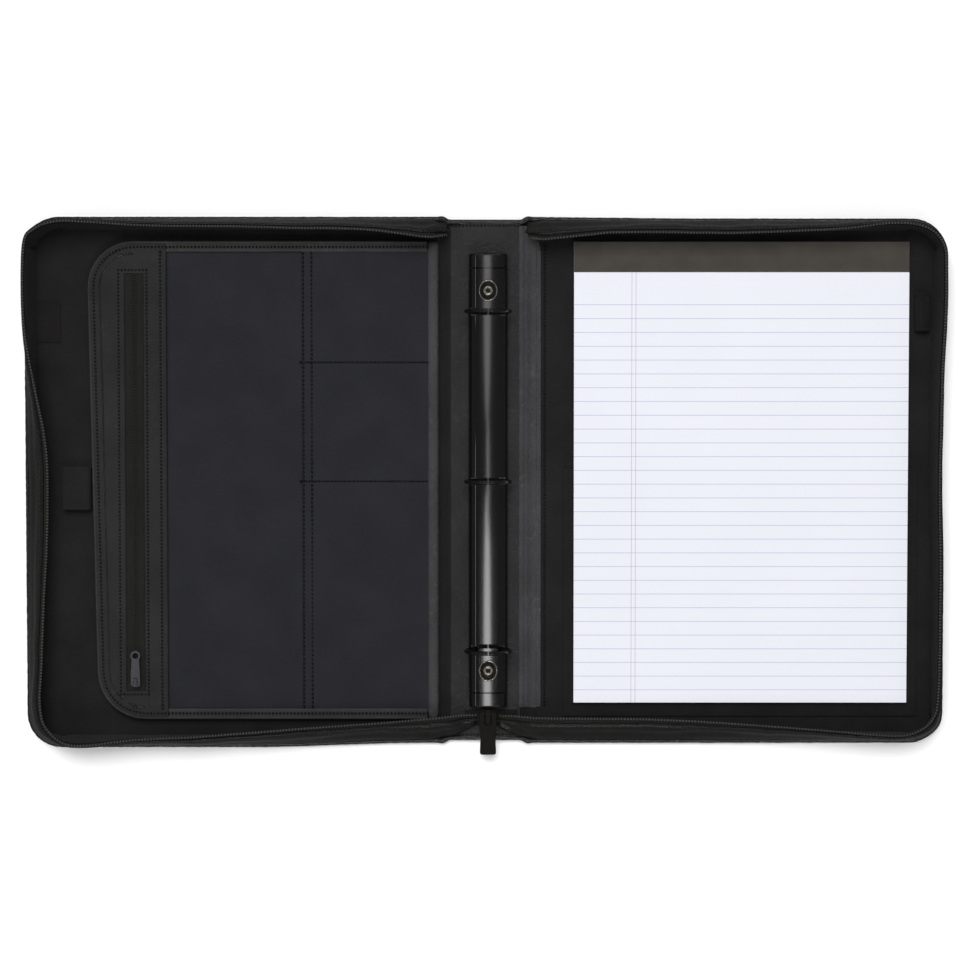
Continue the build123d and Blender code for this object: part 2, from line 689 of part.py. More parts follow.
with BuildPart() as organizer_band:
    extrude(organizer_face(ORGANIZER_BACK_TOP), amount=BAND_TOP - ORGANIZER_BACK_TOP)
    slab(
        (BAND_RIGHT_X, ORGANIZER_RIGHT_X + 1),
        (ORGANIZER_BOTTOM_Y - 1, ORGANIZER_TOP_Y + 1),
        (ORGANIZER_BACK_TOP, BAND_TOP),
        Mode.SUBTRACT,
    )
    extrude(
        filling_face(ORGANIZER_BACK_TOP, BAND_RIGHT_X),
        amount=padding_height,
        mode=Mode.SUBTRACT,
    )
    extrude(
        filling_face(PADDING_TOP, BAND_CAVITY_RIGHT_X),
        amount=BAND_CAVITY_TOP - PADDING_TOP,
        mode=Mode.SUBTRACT,
    )
    slab(
        (ZIP_WINDOW_X - ZIP_WINDOW_WIDTH / 2, ZIP_WINDOW_X + ZIP_WINDOW_WIDTH / 2),
        ZIP_WINDOW_Y,
        (BAND_CAVITY_TOP, BAND_TOP),
        Mode.SUBTRACT,
    )
save(organizer_band, "organizer_band")

with BuildPart() as organizer_border_top:
    slab(
        (BAND_RIGHT_X, PIPING_LEFT_X),
        (INNER_Y[1], ORGANIZER_TOP_Y),
        (ORGANIZER_BACK_TOP, BORDER_TOP),
    )
save(organizer_border_top, "organizer_border_top")

with BuildPart() as organizer_border_bottom:
    slab(
        (BAND_RIGHT_X, PIPING_LEFT_X),
        (ORGANIZER_BOTTOM_Y, INNER_Y[0]),
        (ORGANIZER_BACK_TOP, BORDER_TOP),
    )
save(organizer_border_bottom, "organizer_border_bottom")

with BuildPart() as organizer_piping:
    slab(
        (PIPING_LEFT_X, ORGANIZER_RIGHT_X),
        (ORGANIZER_BOTTOM_Y, ORGANIZER_TOP_Y),
        (ORGANIZER_BACK_TOP, PIPING_TOP),
    )
    fillet(organizer_piping.faces().sort_by(Axis.Z)[-1].edges().filter_by(Axis.Y), PIPING_ROUND)
save(organizer_piping, "organizer_piping")

with BuildPart() as nylon_panel:
    slab((BAND_RIGHT_X, PIPING_LEFT_X), INNER_Y, (PADDING_TOP, NYLON_TOP))
save(nylon_panel, "nylon_panel")

CARD_POCKETS = {
    "top": (CARD_POCKET_SEAMS_Y[0], INNER_Y[1]),
    "middle": (CARD_POCKET_SEAMS_Y[1], CARD_POCKET_SEAMS_Y[0]),
    "bottom": (INNER_Y[0], CARD_POCKET_SEAMS_Y[1]),
}
for pocket_name, (low_y, high_y) in CARD_POCKETS.items():
    with BuildPart() as card_pocket:
        slab(
            (CARD_POCKET_LEFT_X, PIPING_LEFT_X),
            (low_y + CARD_POCKET_SEAM / 2, high_y - CARD_POCKET_SEAM / 2),
            (NYLON_TOP, CARD_POCKET_TOP),
        )
    save(card_pocket, f"card_pocket_{pocket_name}")

with BuildPart() as pocket_bag:
    extrude(filling_face(PADDING_TOP, BAND_CAVITY_RIGHT_X), amount=POCKET_BAG_TOP - PADDING_TOP)
save(pocket_bag, "pocket_bag")

with BuildPart() as pocket_zip_tape:
    tape_half_width = ZIP_WINDOW_WIDTH / 2 + POCKET_TAPE_MARGIN
    slab(
        (ZIP_WINDOW_X - tape_half_width, ZIP_WINDOW_X + tape_half_width),
        (ZIP_WINDOW_Y[0] - POCKET_TAPE_MARGIN, ZIP_WINDOW_Y[1] + POCKET_TAPE_MARGIN),
        (POCKET_TAPE_BOTTOM, BAND_CAVITY_TOP),
    )
save(pocket_zip_tape, "pocket_zip_tape")

with BuildPart() as pocket_zip_coil:
    slab(
        (ZIP_WINDOW_X - POCKET_COIL_WIDTH / 2, ZIP_WINDOW_X + POCKET_COIL_WIDTH / 2),
        ZIP_WINDOW_Y,
        (BAND_CAVITY_TOP, POCKET_COIL_TOP),
    )
save(pocket_zip_coil, "pocket_zip_coil")

# ---- pen loops ------------------------------------------------------------------------------------

for loop_name, loop in {"front": FRONT_LOOP, "back": BACK_LOOP}.items():
    with BuildPart() as pen_loop:
        for inset, mode in ((0, Mode.ADD), (LOOP_THICKNESS, Mode.SUBTRACT)):
            arch = arch_face(
                section_at(loop["y"] + loop["length"] / 2),
                loop["x"],
                LINING_TOP,
                loop["width"] - 2 * inset,
                loop["height"] - inset,
                loop["round"] - inset,
            )
            extrude(arch, amount=loop["length"], mode=mode)
    save(pen_loop, f"pen_loop_{loop_name}")

with BuildPart() as elastic_patch:
    slab(PATCH_X, PATCH_Y, (LINING_TOP, PATCH_TOP))
save(elastic_patch, "elastic_patch")

# ---- writing pad ----------------------------------------------------------------------------------

with BuildPart() as pad_backing:
    slab(PAD_X, PAD_Y, (PAD_BACKING_BOTTOM, PAD_BACKING_TOP))
save(pad_backing, "pad_backing")

# the pad's card back is tucked behind this panel, and its sheets lie in front of it
with BuildPart() as pad_pocket:
    slab(PAD_POCKET_X, PAD_POCKET_Y, (PAD_POCKET_BOTTOM, PAD_POCKET_TOP))
save(pad_pocket, "pad_pocket")

with BuildPart() as paper_block:
    slab(PAD_X, PAD_Y, (PAD_BLOCK_BOTTOM, PAD_BLOCK_TOP))
save(paper_block, "paper_block")

with BuildPart() as pad_header:
    slab(PAD_X, (HEADER_BOTTOM_Y, PAD_Y[1]), (PAD_BLOCK_TOP, HEADER_TOP))
save(pad_header, "pad_header")

with BuildPart() as top_page:
    slab(PAD_X, (PAD_Y[0], HEADER_BOTTOM_Y - PAGE_HEADER_GAP), (PAGE_BOTTOM, PAGE_TOP))
save(top_page, "top_page")
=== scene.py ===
"""Looks for the zippered ring-binder portfolio case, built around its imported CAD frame.

Lengths in the tables and shape functions are millimetres; build_mesh turns them into metres.
+Z is up, +X the back cover with the writing pad, +Y the top of the pages.
"""

import math

import bpy
import numpy as np
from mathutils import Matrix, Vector, noise


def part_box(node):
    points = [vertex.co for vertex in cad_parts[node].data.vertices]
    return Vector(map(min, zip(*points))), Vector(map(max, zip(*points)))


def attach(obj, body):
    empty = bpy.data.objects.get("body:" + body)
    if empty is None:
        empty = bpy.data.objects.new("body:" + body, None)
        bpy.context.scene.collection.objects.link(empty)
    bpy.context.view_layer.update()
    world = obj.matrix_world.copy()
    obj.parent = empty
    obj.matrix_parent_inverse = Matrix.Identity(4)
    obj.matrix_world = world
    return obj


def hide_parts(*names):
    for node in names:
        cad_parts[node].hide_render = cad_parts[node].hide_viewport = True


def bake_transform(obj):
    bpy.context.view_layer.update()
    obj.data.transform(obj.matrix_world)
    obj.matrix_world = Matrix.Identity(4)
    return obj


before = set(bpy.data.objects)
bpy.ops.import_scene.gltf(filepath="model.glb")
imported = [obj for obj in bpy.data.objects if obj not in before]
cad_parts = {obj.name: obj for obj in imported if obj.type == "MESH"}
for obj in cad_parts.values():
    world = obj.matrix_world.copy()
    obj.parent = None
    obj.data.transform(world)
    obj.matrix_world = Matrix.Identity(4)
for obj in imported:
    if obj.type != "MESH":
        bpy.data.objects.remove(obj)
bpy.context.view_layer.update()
MM = 0.001

# ---- sizes shared with the CAD, in mm ----
CREASE_X = 27.0
CASE_HALF_WIDTH = 295.0
CASE_HALF_HEIGHT = 170.5
CORNER_RADIUS = 22.0
COVER_NEAR_X = CREASE_X + 2.0  # where the covers end beside the spine
BINDING_WIDTH = 3.0
BINDING_TOP = 4.2


def node_box(name):
    """A CAD node's box as (low, high) numpy arrays in millimetres."""
    low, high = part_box(name)
    return np.array(low) / MM, np.array(high) / MM


# ---- node material helpers ----


class Shader:
    """A material being wired: short names for making and linking its nodes."""

    def __init__(self, name, color, roughness, metallic=0.0, specular=0.5):
        self.material = bpy.data.materials.new(name)
        self.material.use_nodes = True
        self.tree = self.material.node_tree
        self.bsdf = self.tree.nodes["Principled BSDF"]
        self.bsdf.inputs["Base Color"].default_value = (*color, 1)
        self.bsdf.inputs["Roughness"].default_value = roughness
        self.bsdf.inputs["Metallic"].default_value = metallic
        self.bsdf.inputs["Specular IOR Level"].default_value = specular
        self.position = self.node("ShaderNodeTexCoord").outputs["Object"]

    def node(self, kind, **settings):
        made = self.tree.nodes.new(kind)
        for key, value in settings.items():
            setattr(made, key, value)
        return made

    def link(self, source, target):
        self.tree.links.new(source, target)

    def noise(self, size_mm, detail=3.0, roughness=0.55):
        """Noise whose features are about size_mm across."""
        made = self.node("ShaderNodeTexNoise")
        made.inputs["Scale"].default_value = 1 / (size_mm * MM)
        made.inputs["Detail"].default_value = detail
        made.inputs["Roughness"].default_value = roughness
        self.link(self.position, made.inputs["Vector"])
        return made.outputs["Fac"]

    def cells(self, size_mm):
        made = self.node("ShaderNodeTexVoronoi", feature="SMOOTH_F1")
        made.inputs["Scale"].default_value = 1 / (size_mm * MM)
        self.link(self.position, made.inputs["Vector"])
        return made.outputs["Distance"]

    def axis(self, name):
        made = self.node("ShaderNodeSeparateXYZ")
        self.link(self.position, made.inputs[0])
        return made.outputs[name]

    def math(self, operation, *values):
        made = self.node("ShaderNodeMath", operation=operation)
        for socket, value in zip(made.inputs, values):
            if isinstance(value, (int, float)):
                socket.default_value = value
            else:
                self.link(value, socket)
        return made.outputs[0]

    def ramp(self, value, low, high, to_low=0.0, to_high=1.0):
        made = self.node("ShaderNodeMapRange")
        self.link(value, made.inputs["Value"])
        for socket, number in zip(list(made.inputs)[1:5], (low, high, to_low, to_high)):
            socket.default_value = number
        return made.outputs["Result"]

    def mix(self, factor, first, second):
        """A colour mix; first and second are colours or sockets."""
        made = self.node("ShaderNodeMix", data_type="RGBA")
        self.link(factor, made.inputs["Factor"])
        for socket, value in ((made.inputs[6], first), (made.inputs[7], second)):
            if isinstance(value, tuple):
                socket.default_value = (*value, 1)
            else:
                self.link(value, socket)
        return made.outputs[2]

    def bump(self, height, depth_mm):
        made = self.node("ShaderNodeBump")
        made.inputs["Strength"].default_value = 1.0
        made.inputs["Distance"].default_value = depth_mm * MM
        self.link(height, made.inputs["Height"])
        self.link(made.outputs["Normal"], self.bsdf.inputs["Normal"])

    def color(self, socket):
        self.link(socket, self.bsdf.inputs["Base Color"])

    def rough(self, socket):
        self.link(socket, self.bsdf.inputs["Roughness"])


def scaled(color, factor):
    return tuple(min(1.0, c * factor) for c in color)


def leather(name, color, roughness, grain_mm=0.7, grain_depth=0.24, crease_mm=14.0, specular=0.3):
    """Pebble-grained leatherette: cell bumps, faint creases, blotchy tone and rubbed highs."""
    s = Shader(name, color, roughness, specular=specular)
    pebbles = s.cells(grain_mm)
    creases = s.noise(crease_mm, detail=6.0, roughness=0.7)
    blotches = s.noise(35.0)
    speckle = s.noise(grain_mm * 1.3, detail=2.0)
    height = s.math("ADD", s.math("MULTIPLY", pebbles, -0.7), s.math("MULTIPLY", creases, 1.4))
    height = s.math("ADD", height, speckle)
    tone = s.mix(s.ramp(blotches, 0.3, 0.7), scaled(color, 0.82), scaled(color, 1.2))
    rubbed = s.ramp(s.math("MULTIPLY", creases, s.noise(3.0)), 0.30, 0.42, 0.0, 0.55)
    s.color(s.mix(rubbed, tone, scaled(color, 1.7)))
    s.rough(s.ramp(s.math("ADD", pebbles, blotches), 0.3, 1.3, roughness - 0.07, roughness + 0.12))
    s.bump(height, grain_depth)
    return s.material


def woven(name, color, roughness, pitch_mm, depth=0.10, sheen=0.03, tone=0.25):
    """Plain weave: crossed sine ribs at the thread pitch, slubs, and a soft sheen."""
    s = Shader(name, color, roughness, specular=0.12)
    turns = 2 * math.pi / (pitch_mm * MM)
    ribs_x, ribs_y, ribs_z = (s.math("SINE", s.math("MULTIPLY", s.axis(n), turns)) for n in "XYZ")
    weave = s.math("MULTIPLY", ribs_x, ribs_y)
    weave = s.math("ADD", weave, s.math("MULTIPLY", ribs_z, 0.4))
    slubs = s.noise(2.5, detail=4.0)
    shade = s.math("ADD", s.math("MULTIPLY", weave, 0.25), s.math("MULTIPLY", s.noise(28.0), 1.2))
    s.color(s.mix(s.ramp(shade, 0.2, 1.0), scaled(color, 1 - tone), scaled(color, 1 + tone)))
    s.rough(s.ramp(slubs, 0.3, 0.7, roughness - 0.06, roughness + 0.08))
    s.bump(s.math("ADD", weave, s.math("MULTIPLY", slubs, 1.5)), depth)
    s.bsdf.inputs["Sheen Weight"].default_value = sheen
    s.bsdf.inputs["Sheen Roughness"].default_value = 0.4
    return s.material


def coated_metal(
    name, color, roughness, metallic, coat, peel_mm=1.2, specular=0.5, peel_depth=0.012
):
    """Enamelled or plated metal: fine orange peel, uneven gloss and small scuffs."""
    s = Shader(name, color, roughness, metallic, specular)
    peel = s.noise(peel_mm, detail=2.0)
    wipe = s.noise(18.0, detail=5.0, roughness=0.65)
    scuffs = s.ramp(s.noise(0.5, detail=6.0, roughness=0.8), 0.66, 0.72)
    s.color(s.mix(scuffs, s.mix(wipe, scaled(color, 0.8), scaled(color, 1.25)), scaled(color, 2.2)))
    s.rough(s.ramp(wipe, 0.3, 0.7, roughness * 0.7, roughness * 1.5))
    s.bump(peel, peel_depth)
    s.bsdf.inputs["Coat Weight"].default_value = coat
    s.bsdf.inputs["Coat Roughness"].default_value = 0.028
    return s.material


def ruled_paper():
    """White writing paper with printed rules and a double margin line."""
    white = (0.655, 0.665, 0.72)
    s = Shader("ruled_paper", white, 0.75)
    fibres = s.noise(0.7, detail=5.0, roughness=0.7)
    cloud = s.noise(60.0)
    base = s.mix(s.math("MULTIPLY", fibres, cloud), scaled(white, 1.03), scaled(white, 0.93))
    from_first = s.math("SUBTRACT", FIRST_RULE_Y * MM, s.axis("Y"))
    steps = s.math("DIVIDE", from_first, RULE_PITCH * MM)
    off_rule = s.math("ABSOLUTE", s.math("SUBTRACT", steps, s.math("ROUND", steps)))
    on_rule = s.math("LESS_THAN", off_rule, 0.5 * RULE_WIDTH / RULE_PITCH)
    in_rules = s.math(
        "MULTIPLY",
        s.math("GREATER_THAN", steps, -0.5),
        s.math("LESS_THAN", steps, RULE_COUNT - 0.5),
    )
    rule = s.math("MULTIPLY", on_rule, in_rules)
    ruled = s.mix(s.math("MULTIPLY", rule, 0.85), base, (0.36, 0.40, 0.52))
    color = ruled
    for margin_x in MARGIN_XS:
        away = s.math("ABSOLUTE", s.math("SUBTRACT", s.axis("X"), margin_x * MM))
        line = s.math("LESS_THAN", away, 0.5 * RULE_WIDTH * MM)
        color = s.mix(s.math("MULTIPLY", line, 0.85), color, (0.42, 0.38, 0.46))
    s.color(color)
    s.rough(s.ramp(fibres, 0.3, 0.7, 0.68, 0.82))
    s.bump(fibres, 0.02)
    return s.material


def page_stack():
    """The pad's cut edges: fine layers one sheet thick, with an uneven tone."""
    white = (0.78, 0.78, 0.82)
    s = Shader("page_stack", white, 0.8)
    layers = s.math("SINE", s.math("MULTIPLY", s.axis("Z"), 2 * math.pi / (0.11 * MM)))
    fibres = s.noise(1.5, detail=4.0)
    s.color(s.mix(s.ramp(s.math("ADD", layers, fibres), -0.4, 1.6), scaled(white, 0.72), white))
    s.rough(s.ramp(fibres, 0.3, 0.7, 0.7, 0.85))
    s.bump(layers, 0.04)
    return s.material


def card(name, color):
    """Card and board: matte, fibrous and slightly mottled."""
    s = Shader(name, color, 0.8)
    fibres = s.noise(0.9, detail=6.0, roughness=0.7)
    mottle = s.noise(12.0)
    shade = s.math("MULTIPLY", fibres, mottle)
    s.color(s.mix(s.ramp(shade, 0.15, 0.4), scaled(color, 0.85), scaled(color, 1.12)))
    s.rough(s.ramp(fibres, 0.3, 0.7, 0.6, 0.85))
    s.bump(fibres, 0.03)
    return s.material


def thread(name, color):
    """Twisted sewing thread."""
    s = Shader(name, color, 0.5)
    diagonal = s.math("ADD", s.axis("X"), s.axis("Y"))
    ply = s.math("SINE", s.math("MULTIPLY", diagonal, 2 * math.pi / (0.35 * MM)))
    s.color(s.mix(s.ramp(ply, -1.0, 1.0), scaled(color, 0.7), scaled(color, 1.25)))
    s.rough(s.ramp(s.noise(1.0), 0.3, 0.7, 0.4, 0.6))
    s.bump(ply, 0.03)
    return s.material


# writing paper layout, in mm
FIRST_RULE_Y = 114.0
RULE_PITCH = 8.8
RULE_WIDTH = 0.45
RULE_COUNT = 29
MARGIN_XS = (93.6, 96.2)

LEATHER = leather("leatherette", (0.0150, 0.0150, 0.0152), 0.42, 0.7, 0.14, 14.0, 0.3)
LEATHER_SOFT = leather("leatherette_carrier", (0.0178, 0.0178, 0.0185), 0.36, 1.7, 0.55)
# A lighter copy of the carrier leather: painted light on the back side of the carrier, its wing and
# crease, and a painted highlight on the organizer's rolled edge.
LEATHER_PAINTED_LIGHT = leather("leatherette_painted_light", (0.0360, 0.0350, 0.0370), 0.36, 1.7, 0.55)
LEATHER_GLOSS = leather("leatherette_gusset", (0.0060, 0.0057, 0.0052), 0.26, 0.9, 0.07, 9.0, 0.5)
PIPING = leather("leatherette_piping", (0.006, 0.006, 0.006), 0.12, 1.8, 0.35, 4.0, 1.0)
# A lighter copy of the leather: a painted highlight on the organizer's rolled rim, and painted
# light that lifts its borders out of shade.
LEATHER_RIM_PAINTED_LIGHT = leather("leatherette_rim_painted_light", (0.027, 0.026, 0.026), 0.36, 0.9, 0.2)
LINING = woven("lining_cloth", (0.0142, 0.0140, 0.0148), 0.8, 0.6)
NYLON = woven("coated_nylon", (0.0182, 0.0186, 0.0218), 0.65, 0.8, 0.08, 0.02, 0.15)
TAPE = woven("zip_tape_weave", (0.0130, 0.0130, 0.0122), 0.6, 0.7)
ELASTIC = woven("elastic_webbing", (0.0125, 0.0115, 0.0122), 0.65, 1.1, 0.2)
COIL = coated_metal("nylon_coil", (0.050, 0.050, 0.052), 0.35, 0.0, 0.2)
COIL_DARK = coated_metal(
    "nylon_coil_covered", (0.0180, 0.0180, 0.0165), 0.7, 0.0, 0.0, specular=0.2
)
ENAMEL = coated_metal(
    "black_enamel", (0.0035, 0.0035, 0.004), 0.08, 0.0, 1.0, peel_mm=6.0, specular=0.0,
    peel_depth=0.0004,
)
GUNMETAL = coated_metal("black_nickel", (0.0070, 0.0062, 0.0054), 0.5, 0.0, 0.0, 1.2, 0.15)
NICKEL = coated_metal("dark_nickel", (0.075, 0.075, 0.085), 0.22, 0.5, 0.3)
STEEL = coated_metal("plain_steel", (0.45, 0.45, 0.47), 0.32, 1.0, 0.0)
BRIGHT = coated_metal("nickel_plate", (0.80, 0.76, 0.66), 0.2, 1.0, 0.0)
PAPER = ruled_paper()
STACK = page_stack()
PAD_CARD = card("pad_back_card", (0.42, 0.37, 0.30))
HEADER = card("pad_header_band", (0.0450, 0.0395, 0.0340))
STITCH = thread("sewing_thread", (0.002, 0.002, 0.002))
STITCH_LIGHT = thread("sewing_thread_light", (0.020, 0.020, 0.021))

# ---- mesh helpers ----

SHELL_PIECES = ("front_", "back_", "spine_", "binder_carrier")  # what follows the covers' outline


def ease(value, start, end):
    """0 before start, 1 past end, smooth between."""
    t = min(1.0, max(0.0, (value - start) / (end - start)))
    return t * t * (3 - 2 * t)


def drawn_in(point):
    """The outline isn't quite a rectangle: the back cover's edges are drawn in a little."""
    x, y, z = point
    lower = 2.8 * ease(-y, 150.0, 168.0) * ease(x, -150.0, -40.0)
    upper = 1.1 * ease(y, 150.0, 168.0) * ease(x, 0.0, 150.0)
    aside = 2.0 * ease(x, 258.0, 291.0) * ease(-y, -125.0, -60.0) * ease(y, -70.0, 10.0)
    return (x - aside, y + lower - upper, z)


def build_mesh(name, points, faces, material, smooth=True):
    """A new object from points in millimetres."""
    if name.startswith(SHELL_PIECES):
        points = [drawn_in(point) for point in points]
    mesh = bpy.data.meshes.new(name)
    mesh.from_pydata([tuple(p) for p in np.asarray(points, float) * MM], [], faces)
    mesh.validate()
    mesh.update()
    if smooth:
        mesh.polygons.foreach_set("use_smooth", [True] * len(mesh.polygons))
    mesh.materials.append(material)
    made = bpy.data.objects.new(name, mesh)
    bpy.context.scene.collection.objects.link(made)
    return made


def place(piece, body, slot, *replaced):
    """The piece rides on a CAD body and stands for some CAD nodes, which are hidden; slot is not
    used.
    """
    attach(piece, body)
    if replaced:
        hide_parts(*replaced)
    return piece


def bend(piece, side, start_x, end_x, slot, *replaced):
    """A soft piece between the spine and a cover: its placing is baked into its points, and the CAD
    nodes it stands for are hidden.
    """
    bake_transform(piece)
    if replaced:
        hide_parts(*replaced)


def ripple(x, y, z=0.0, size=20.0, seed=0.0):
    """Smooth noise from -1 to 1, with features about size mm across."""
    return noise.noise(Vector((x / size + seed, y / size - seed, z / size + 2 * seed)))


UPPER_RIM = 0.7  # how much of a rim's rounding is on the upper side


def steps_with_edges(low, high, edge, count):
    """Grid lines from low to high, finer within edge of both ends."""
    fine = edge * np.array([0.0, 0.12, 0.3, 0.6, 1.0])
    middle = np.linspace(low + edge, high - edge, max(2, count))
    return np.concatenate([low + fine[:-1], middle, high - fine[:-1][::-1]])


def grid_solid(name, upper, lower, material, kept=None):
    """A closed solid between two grids of points [row, column, xyz]; kept can leave cells out."""
    rows, columns = upper.shape[:2]
    total = rows * columns

    def there(j, i):
        return 0 <= j < rows - 1 and 0 <= i < columns - 1 and (not kept or kept(j, i))

    faces = []
    for j in range(rows - 1):
        for i in range(columns - 1):
            if not there(j, i):
                continue
            a, b = j * columns + i, j * columns + i + 1
            c, d = b + columns, a + columns
            faces.append((a + total, b + total, c + total, d + total))
            faces.append((d, c, b, a))
            rims = ((j - 1, i, a, b), (j + 1, i, c, d), (j, i - 1, d, a), (j, i + 1, b, c))
            for beside_j, beside_i, p, q in rims:
                if not there(beside_j, beside_i):
                    faces.append((p, q, q + total, p + total))
    points = np.concatenate([lower.reshape(-1, 3), upper.reshape(-1, 3)])
    return build_mesh(name, points, faces, material)


def panel(name, xs, ys, bottom, top, material, edge=1.0, warp=None, hole=None, relief=None):
    """A closed sheet or pad on a grid: rounded rims, an optional hole, warp and surface relief."""
    xs, ys = np.asarray(xs, float), np.asarray(ys, float)
    upper = np.empty((len(ys), len(xs), 3))
    lower = upper.copy()
    for j, y in enumerate(ys):
        for i, x in enumerate(xs):
            inside = min(x - xs[0], xs[-1] - x, y - ys[0], ys[-1] - y)
            if hole:
                across = max(hole[0] - x, x - hole[1])
                along = max(hole[2] - y, y - hole[3])
                inside = min(inside, max(across, along))
            drop = 0.0
            if inside < edge:
                drop = edge - math.sqrt(max(0.0, edge**2 - (edge - max(0.0, inside)) ** 2))
            rise = relief(x, y) * min(1.0, max(0.0, inside) / (2 * edge)) if relief else 0.0
            px, py = warp(x, y) if warp else (x, y)
            upper[j, i] = px, py, top - UPPER_RIM * drop + rise
            lower[j, i] = px, py, bottom + (1 - UPPER_RIM) * drop

    def kept(j, i):
        cx, cy = (xs[i] + xs[i + 1]) / 2, (ys[j] + ys[j + 1]) / 2
        return not (hole and hole[0] < cx < hole[1] and hole[2] < cy < hole[3])

    return grid_solid(name, upper, lower, material, kept)


def block(name, low, high, bottom, top, material, edge=1.0, step=12.0, relief=None, warp=None):
    """A plain rectangular panel between two (x, y) corners."""
    count_x = int((high[0] - low[0]) / step) + 2
    count_y = int((high[1] - low[1]) / step) + 2
    xs = steps_with_edges(low[0], high[0], edge, count_x)
    ys = steps_with_edges(low[1], high[1], edge, count_y)
    return panel(name, xs, ys, bottom, top, material, edge, warp, None, relief)


def corner_warp(x_from, x_edge, y_low, y_high, radius):
    """Pulls a panel's grid in so that the two corners on the x_edge side are round."""

    def warp(x, y):
        inward = 0.0
        for corner_y in (y_low, y_high):
            near = radius - abs(y - corner_y)
            if near > 0:
                inward = max(inward, radius - math.sqrt(max(0.0, radius**2 - near**2)))
        share = max(0.0, (x - x_from) / (x_edge - x_from))
        return x - math.copysign(inward * share, x_edge - x_from), y

    return warp


def smooth_path(points, spacing):
    """A Catmull-Rom curve through the points, resampled at an even spacing."""
    points = np.asarray(points, float)
    control = np.vstack([2 * points[0] - points[1], points, 2 * points[-1] - points[-2]])
    t = np.linspace(0, 1, 17)[:-1, None]
    pieces = []
    for k in range(1, len(control) - 2):
        p0, p1, p2, p3 = control[k - 1 : k + 3]
        curve = (2 * p0 - 5 * p1 + 4 * p2 - p3) * t**2 + (3 * p1 - p0 - 3 * p2 + p3) * t**3
        pieces.append(0.5 * (2 * p1 + (p2 - p0) * t + curve))
    return resample(np.vstack([*pieces, points[-1:]]), spacing)


def resample(points, spacing):
    """The same polyline with points at an even spacing."""
    points = np.asarray(points, float)
    lengths = np.linalg.norm(np.diff(points, axis=0), axis=1)
    along = np.concatenate([[0], np.cumsum(lengths)])
    count = max(2, int(round(along[-1] / spacing)) + 1)
    at = np.linspace(0, along[-1], count)
    return np.column_stack([np.interp(at, along, points[:, k]) for k in range(points.shape[1])])


def tube_faces(rows, ring, start=0, looped=False):
    """Faces that skin rows of ring points: closed at both ends, or joined round in a loop."""
    faces = []
    for k in range(rows if looped else rows - 1):
        here, after = start + k * ring, start + (k + 1) % rows * ring
        for m in range(ring):
            n = (m + 1) % ring
            faces.append((here + m, here + n, after + n, after + m))
    if not looped:
        last = start + (rows - 1) * ring
        faces.append(tuple(range(start + ring - 1, start - 1, -1)))
        faces.append(tuple(range(last, last + ring)))
    return faces


def path_frame(path):
    """Unit vectors along, across and up from each point of a path."""
    step = np.gradient(path, axis=0)
    along = step / np.maximum(np.linalg.norm(step, axis=1), 1e-9)[:, None]
    across = np.cross(along, (0.0, 0.0, 1.0))
    across /= np.maximum(np.linalg.norm(across, axis=1), 1e-9)[:, None]
    return along, across, np.cross(across, along)


def sweep(name, path, section, material, scale=None):
    """A solid swept along a path. section holds (across, up) offsets round a closed loop."""
    path = np.asarray(path, float)
    across, lift = path_frame(path)[1:]
    points = []
    for k, centre in enumerate(path):
        factor = scale(k) if scale else 1.0
        for side, high in section:
            points.append(centre + factor * (side * across[k] + high * lift[k]))
    return build_mesh(name, points, tube_faces(len(path), len(section)), material)


def round_section(across, count=10, up=None):
    """A circular loop for sweep, or an oval one if its height is given too."""
    turn = np.linspace(0, 2 * math.pi, count, endpoint=False)
    return [(across * math.cos(a), (up or across) * math.sin(a)) for a in turn]


CAPSULE_SIDES = 6
CAPSULE_RINGS = ((-0.5, 0.25), (-0.42, 0.8), (0.0, 1.0), (0.42, 0.8), (0.5, 0.25))


def beads(name, path, material, pitch, length, radius, turn=0.0, flatten=0.8):
    """Small capsules along a path: stitches, or zip coils when turned across it."""
    path = resample(path, pitch)
    along, across, lift = path_frame(path)
    around = np.linspace(0, 2 * math.pi, CAPSULE_SIDES, endpoint=False)
    points, faces = [], []
    for k, centre in enumerate(path):
        axis = math.cos(turn) * along[k] + math.sin(turn) * across[k]
        side = -math.sin(turn) * along[k] + math.cos(turn) * across[k]
        faces += tube_faces(len(CAPSULE_RINGS), CAPSULE_SIDES, start=len(points))
        for shift, size in CAPSULE_RINGS:
            for a in around:
                offset = size * radius * (math.cos(a) * side + flatten * math.sin(a) * lift[k])
                points.append(centre + shift * length * axis + offset)
    return build_mesh(name, points, faces, material)


def stitch_line(name, path, body, slot="cover_leather", material=None, pitch=2.3, length=1.3):
    """A row of stitches sunk a little into what it sews."""
    made = beads(name, path, material or STITCH, pitch, length, 0.72)
    return place(made, body, slot)


# ---- covers: shell, lining, binding ----


def outline_points(side, inset, z):
    """The cover's three free edges, from the spine's top end round to its bottom end."""
    far = CASE_HALF_WIDTH - inset
    tall = CASE_HALF_HEIGHT - inset
    radius = CORNER_RADIUS - inset
    points = [(side * COVER_NEAR_X, tall, z)]
    for quadrant, cy in enumerate((tall - radius, radius - tall)):
        for step in range(9):
            angle = math.pi / 2 - (quadrant + step / 8) * math.pi / 2
            x = far - radius + radius * math.cos(angle)
            points.append((side * x, cy + radius * math.sin(angle), z))
    points.append((side * COVER_NEAR_X, -tall, z))
    return resample(points, 1.1)


SHELL_INSET = 1.6  # the shell ends inside the binding's roll
CORNER_REACH = 40.0  # how far in a panel's grid is moved to round its corners


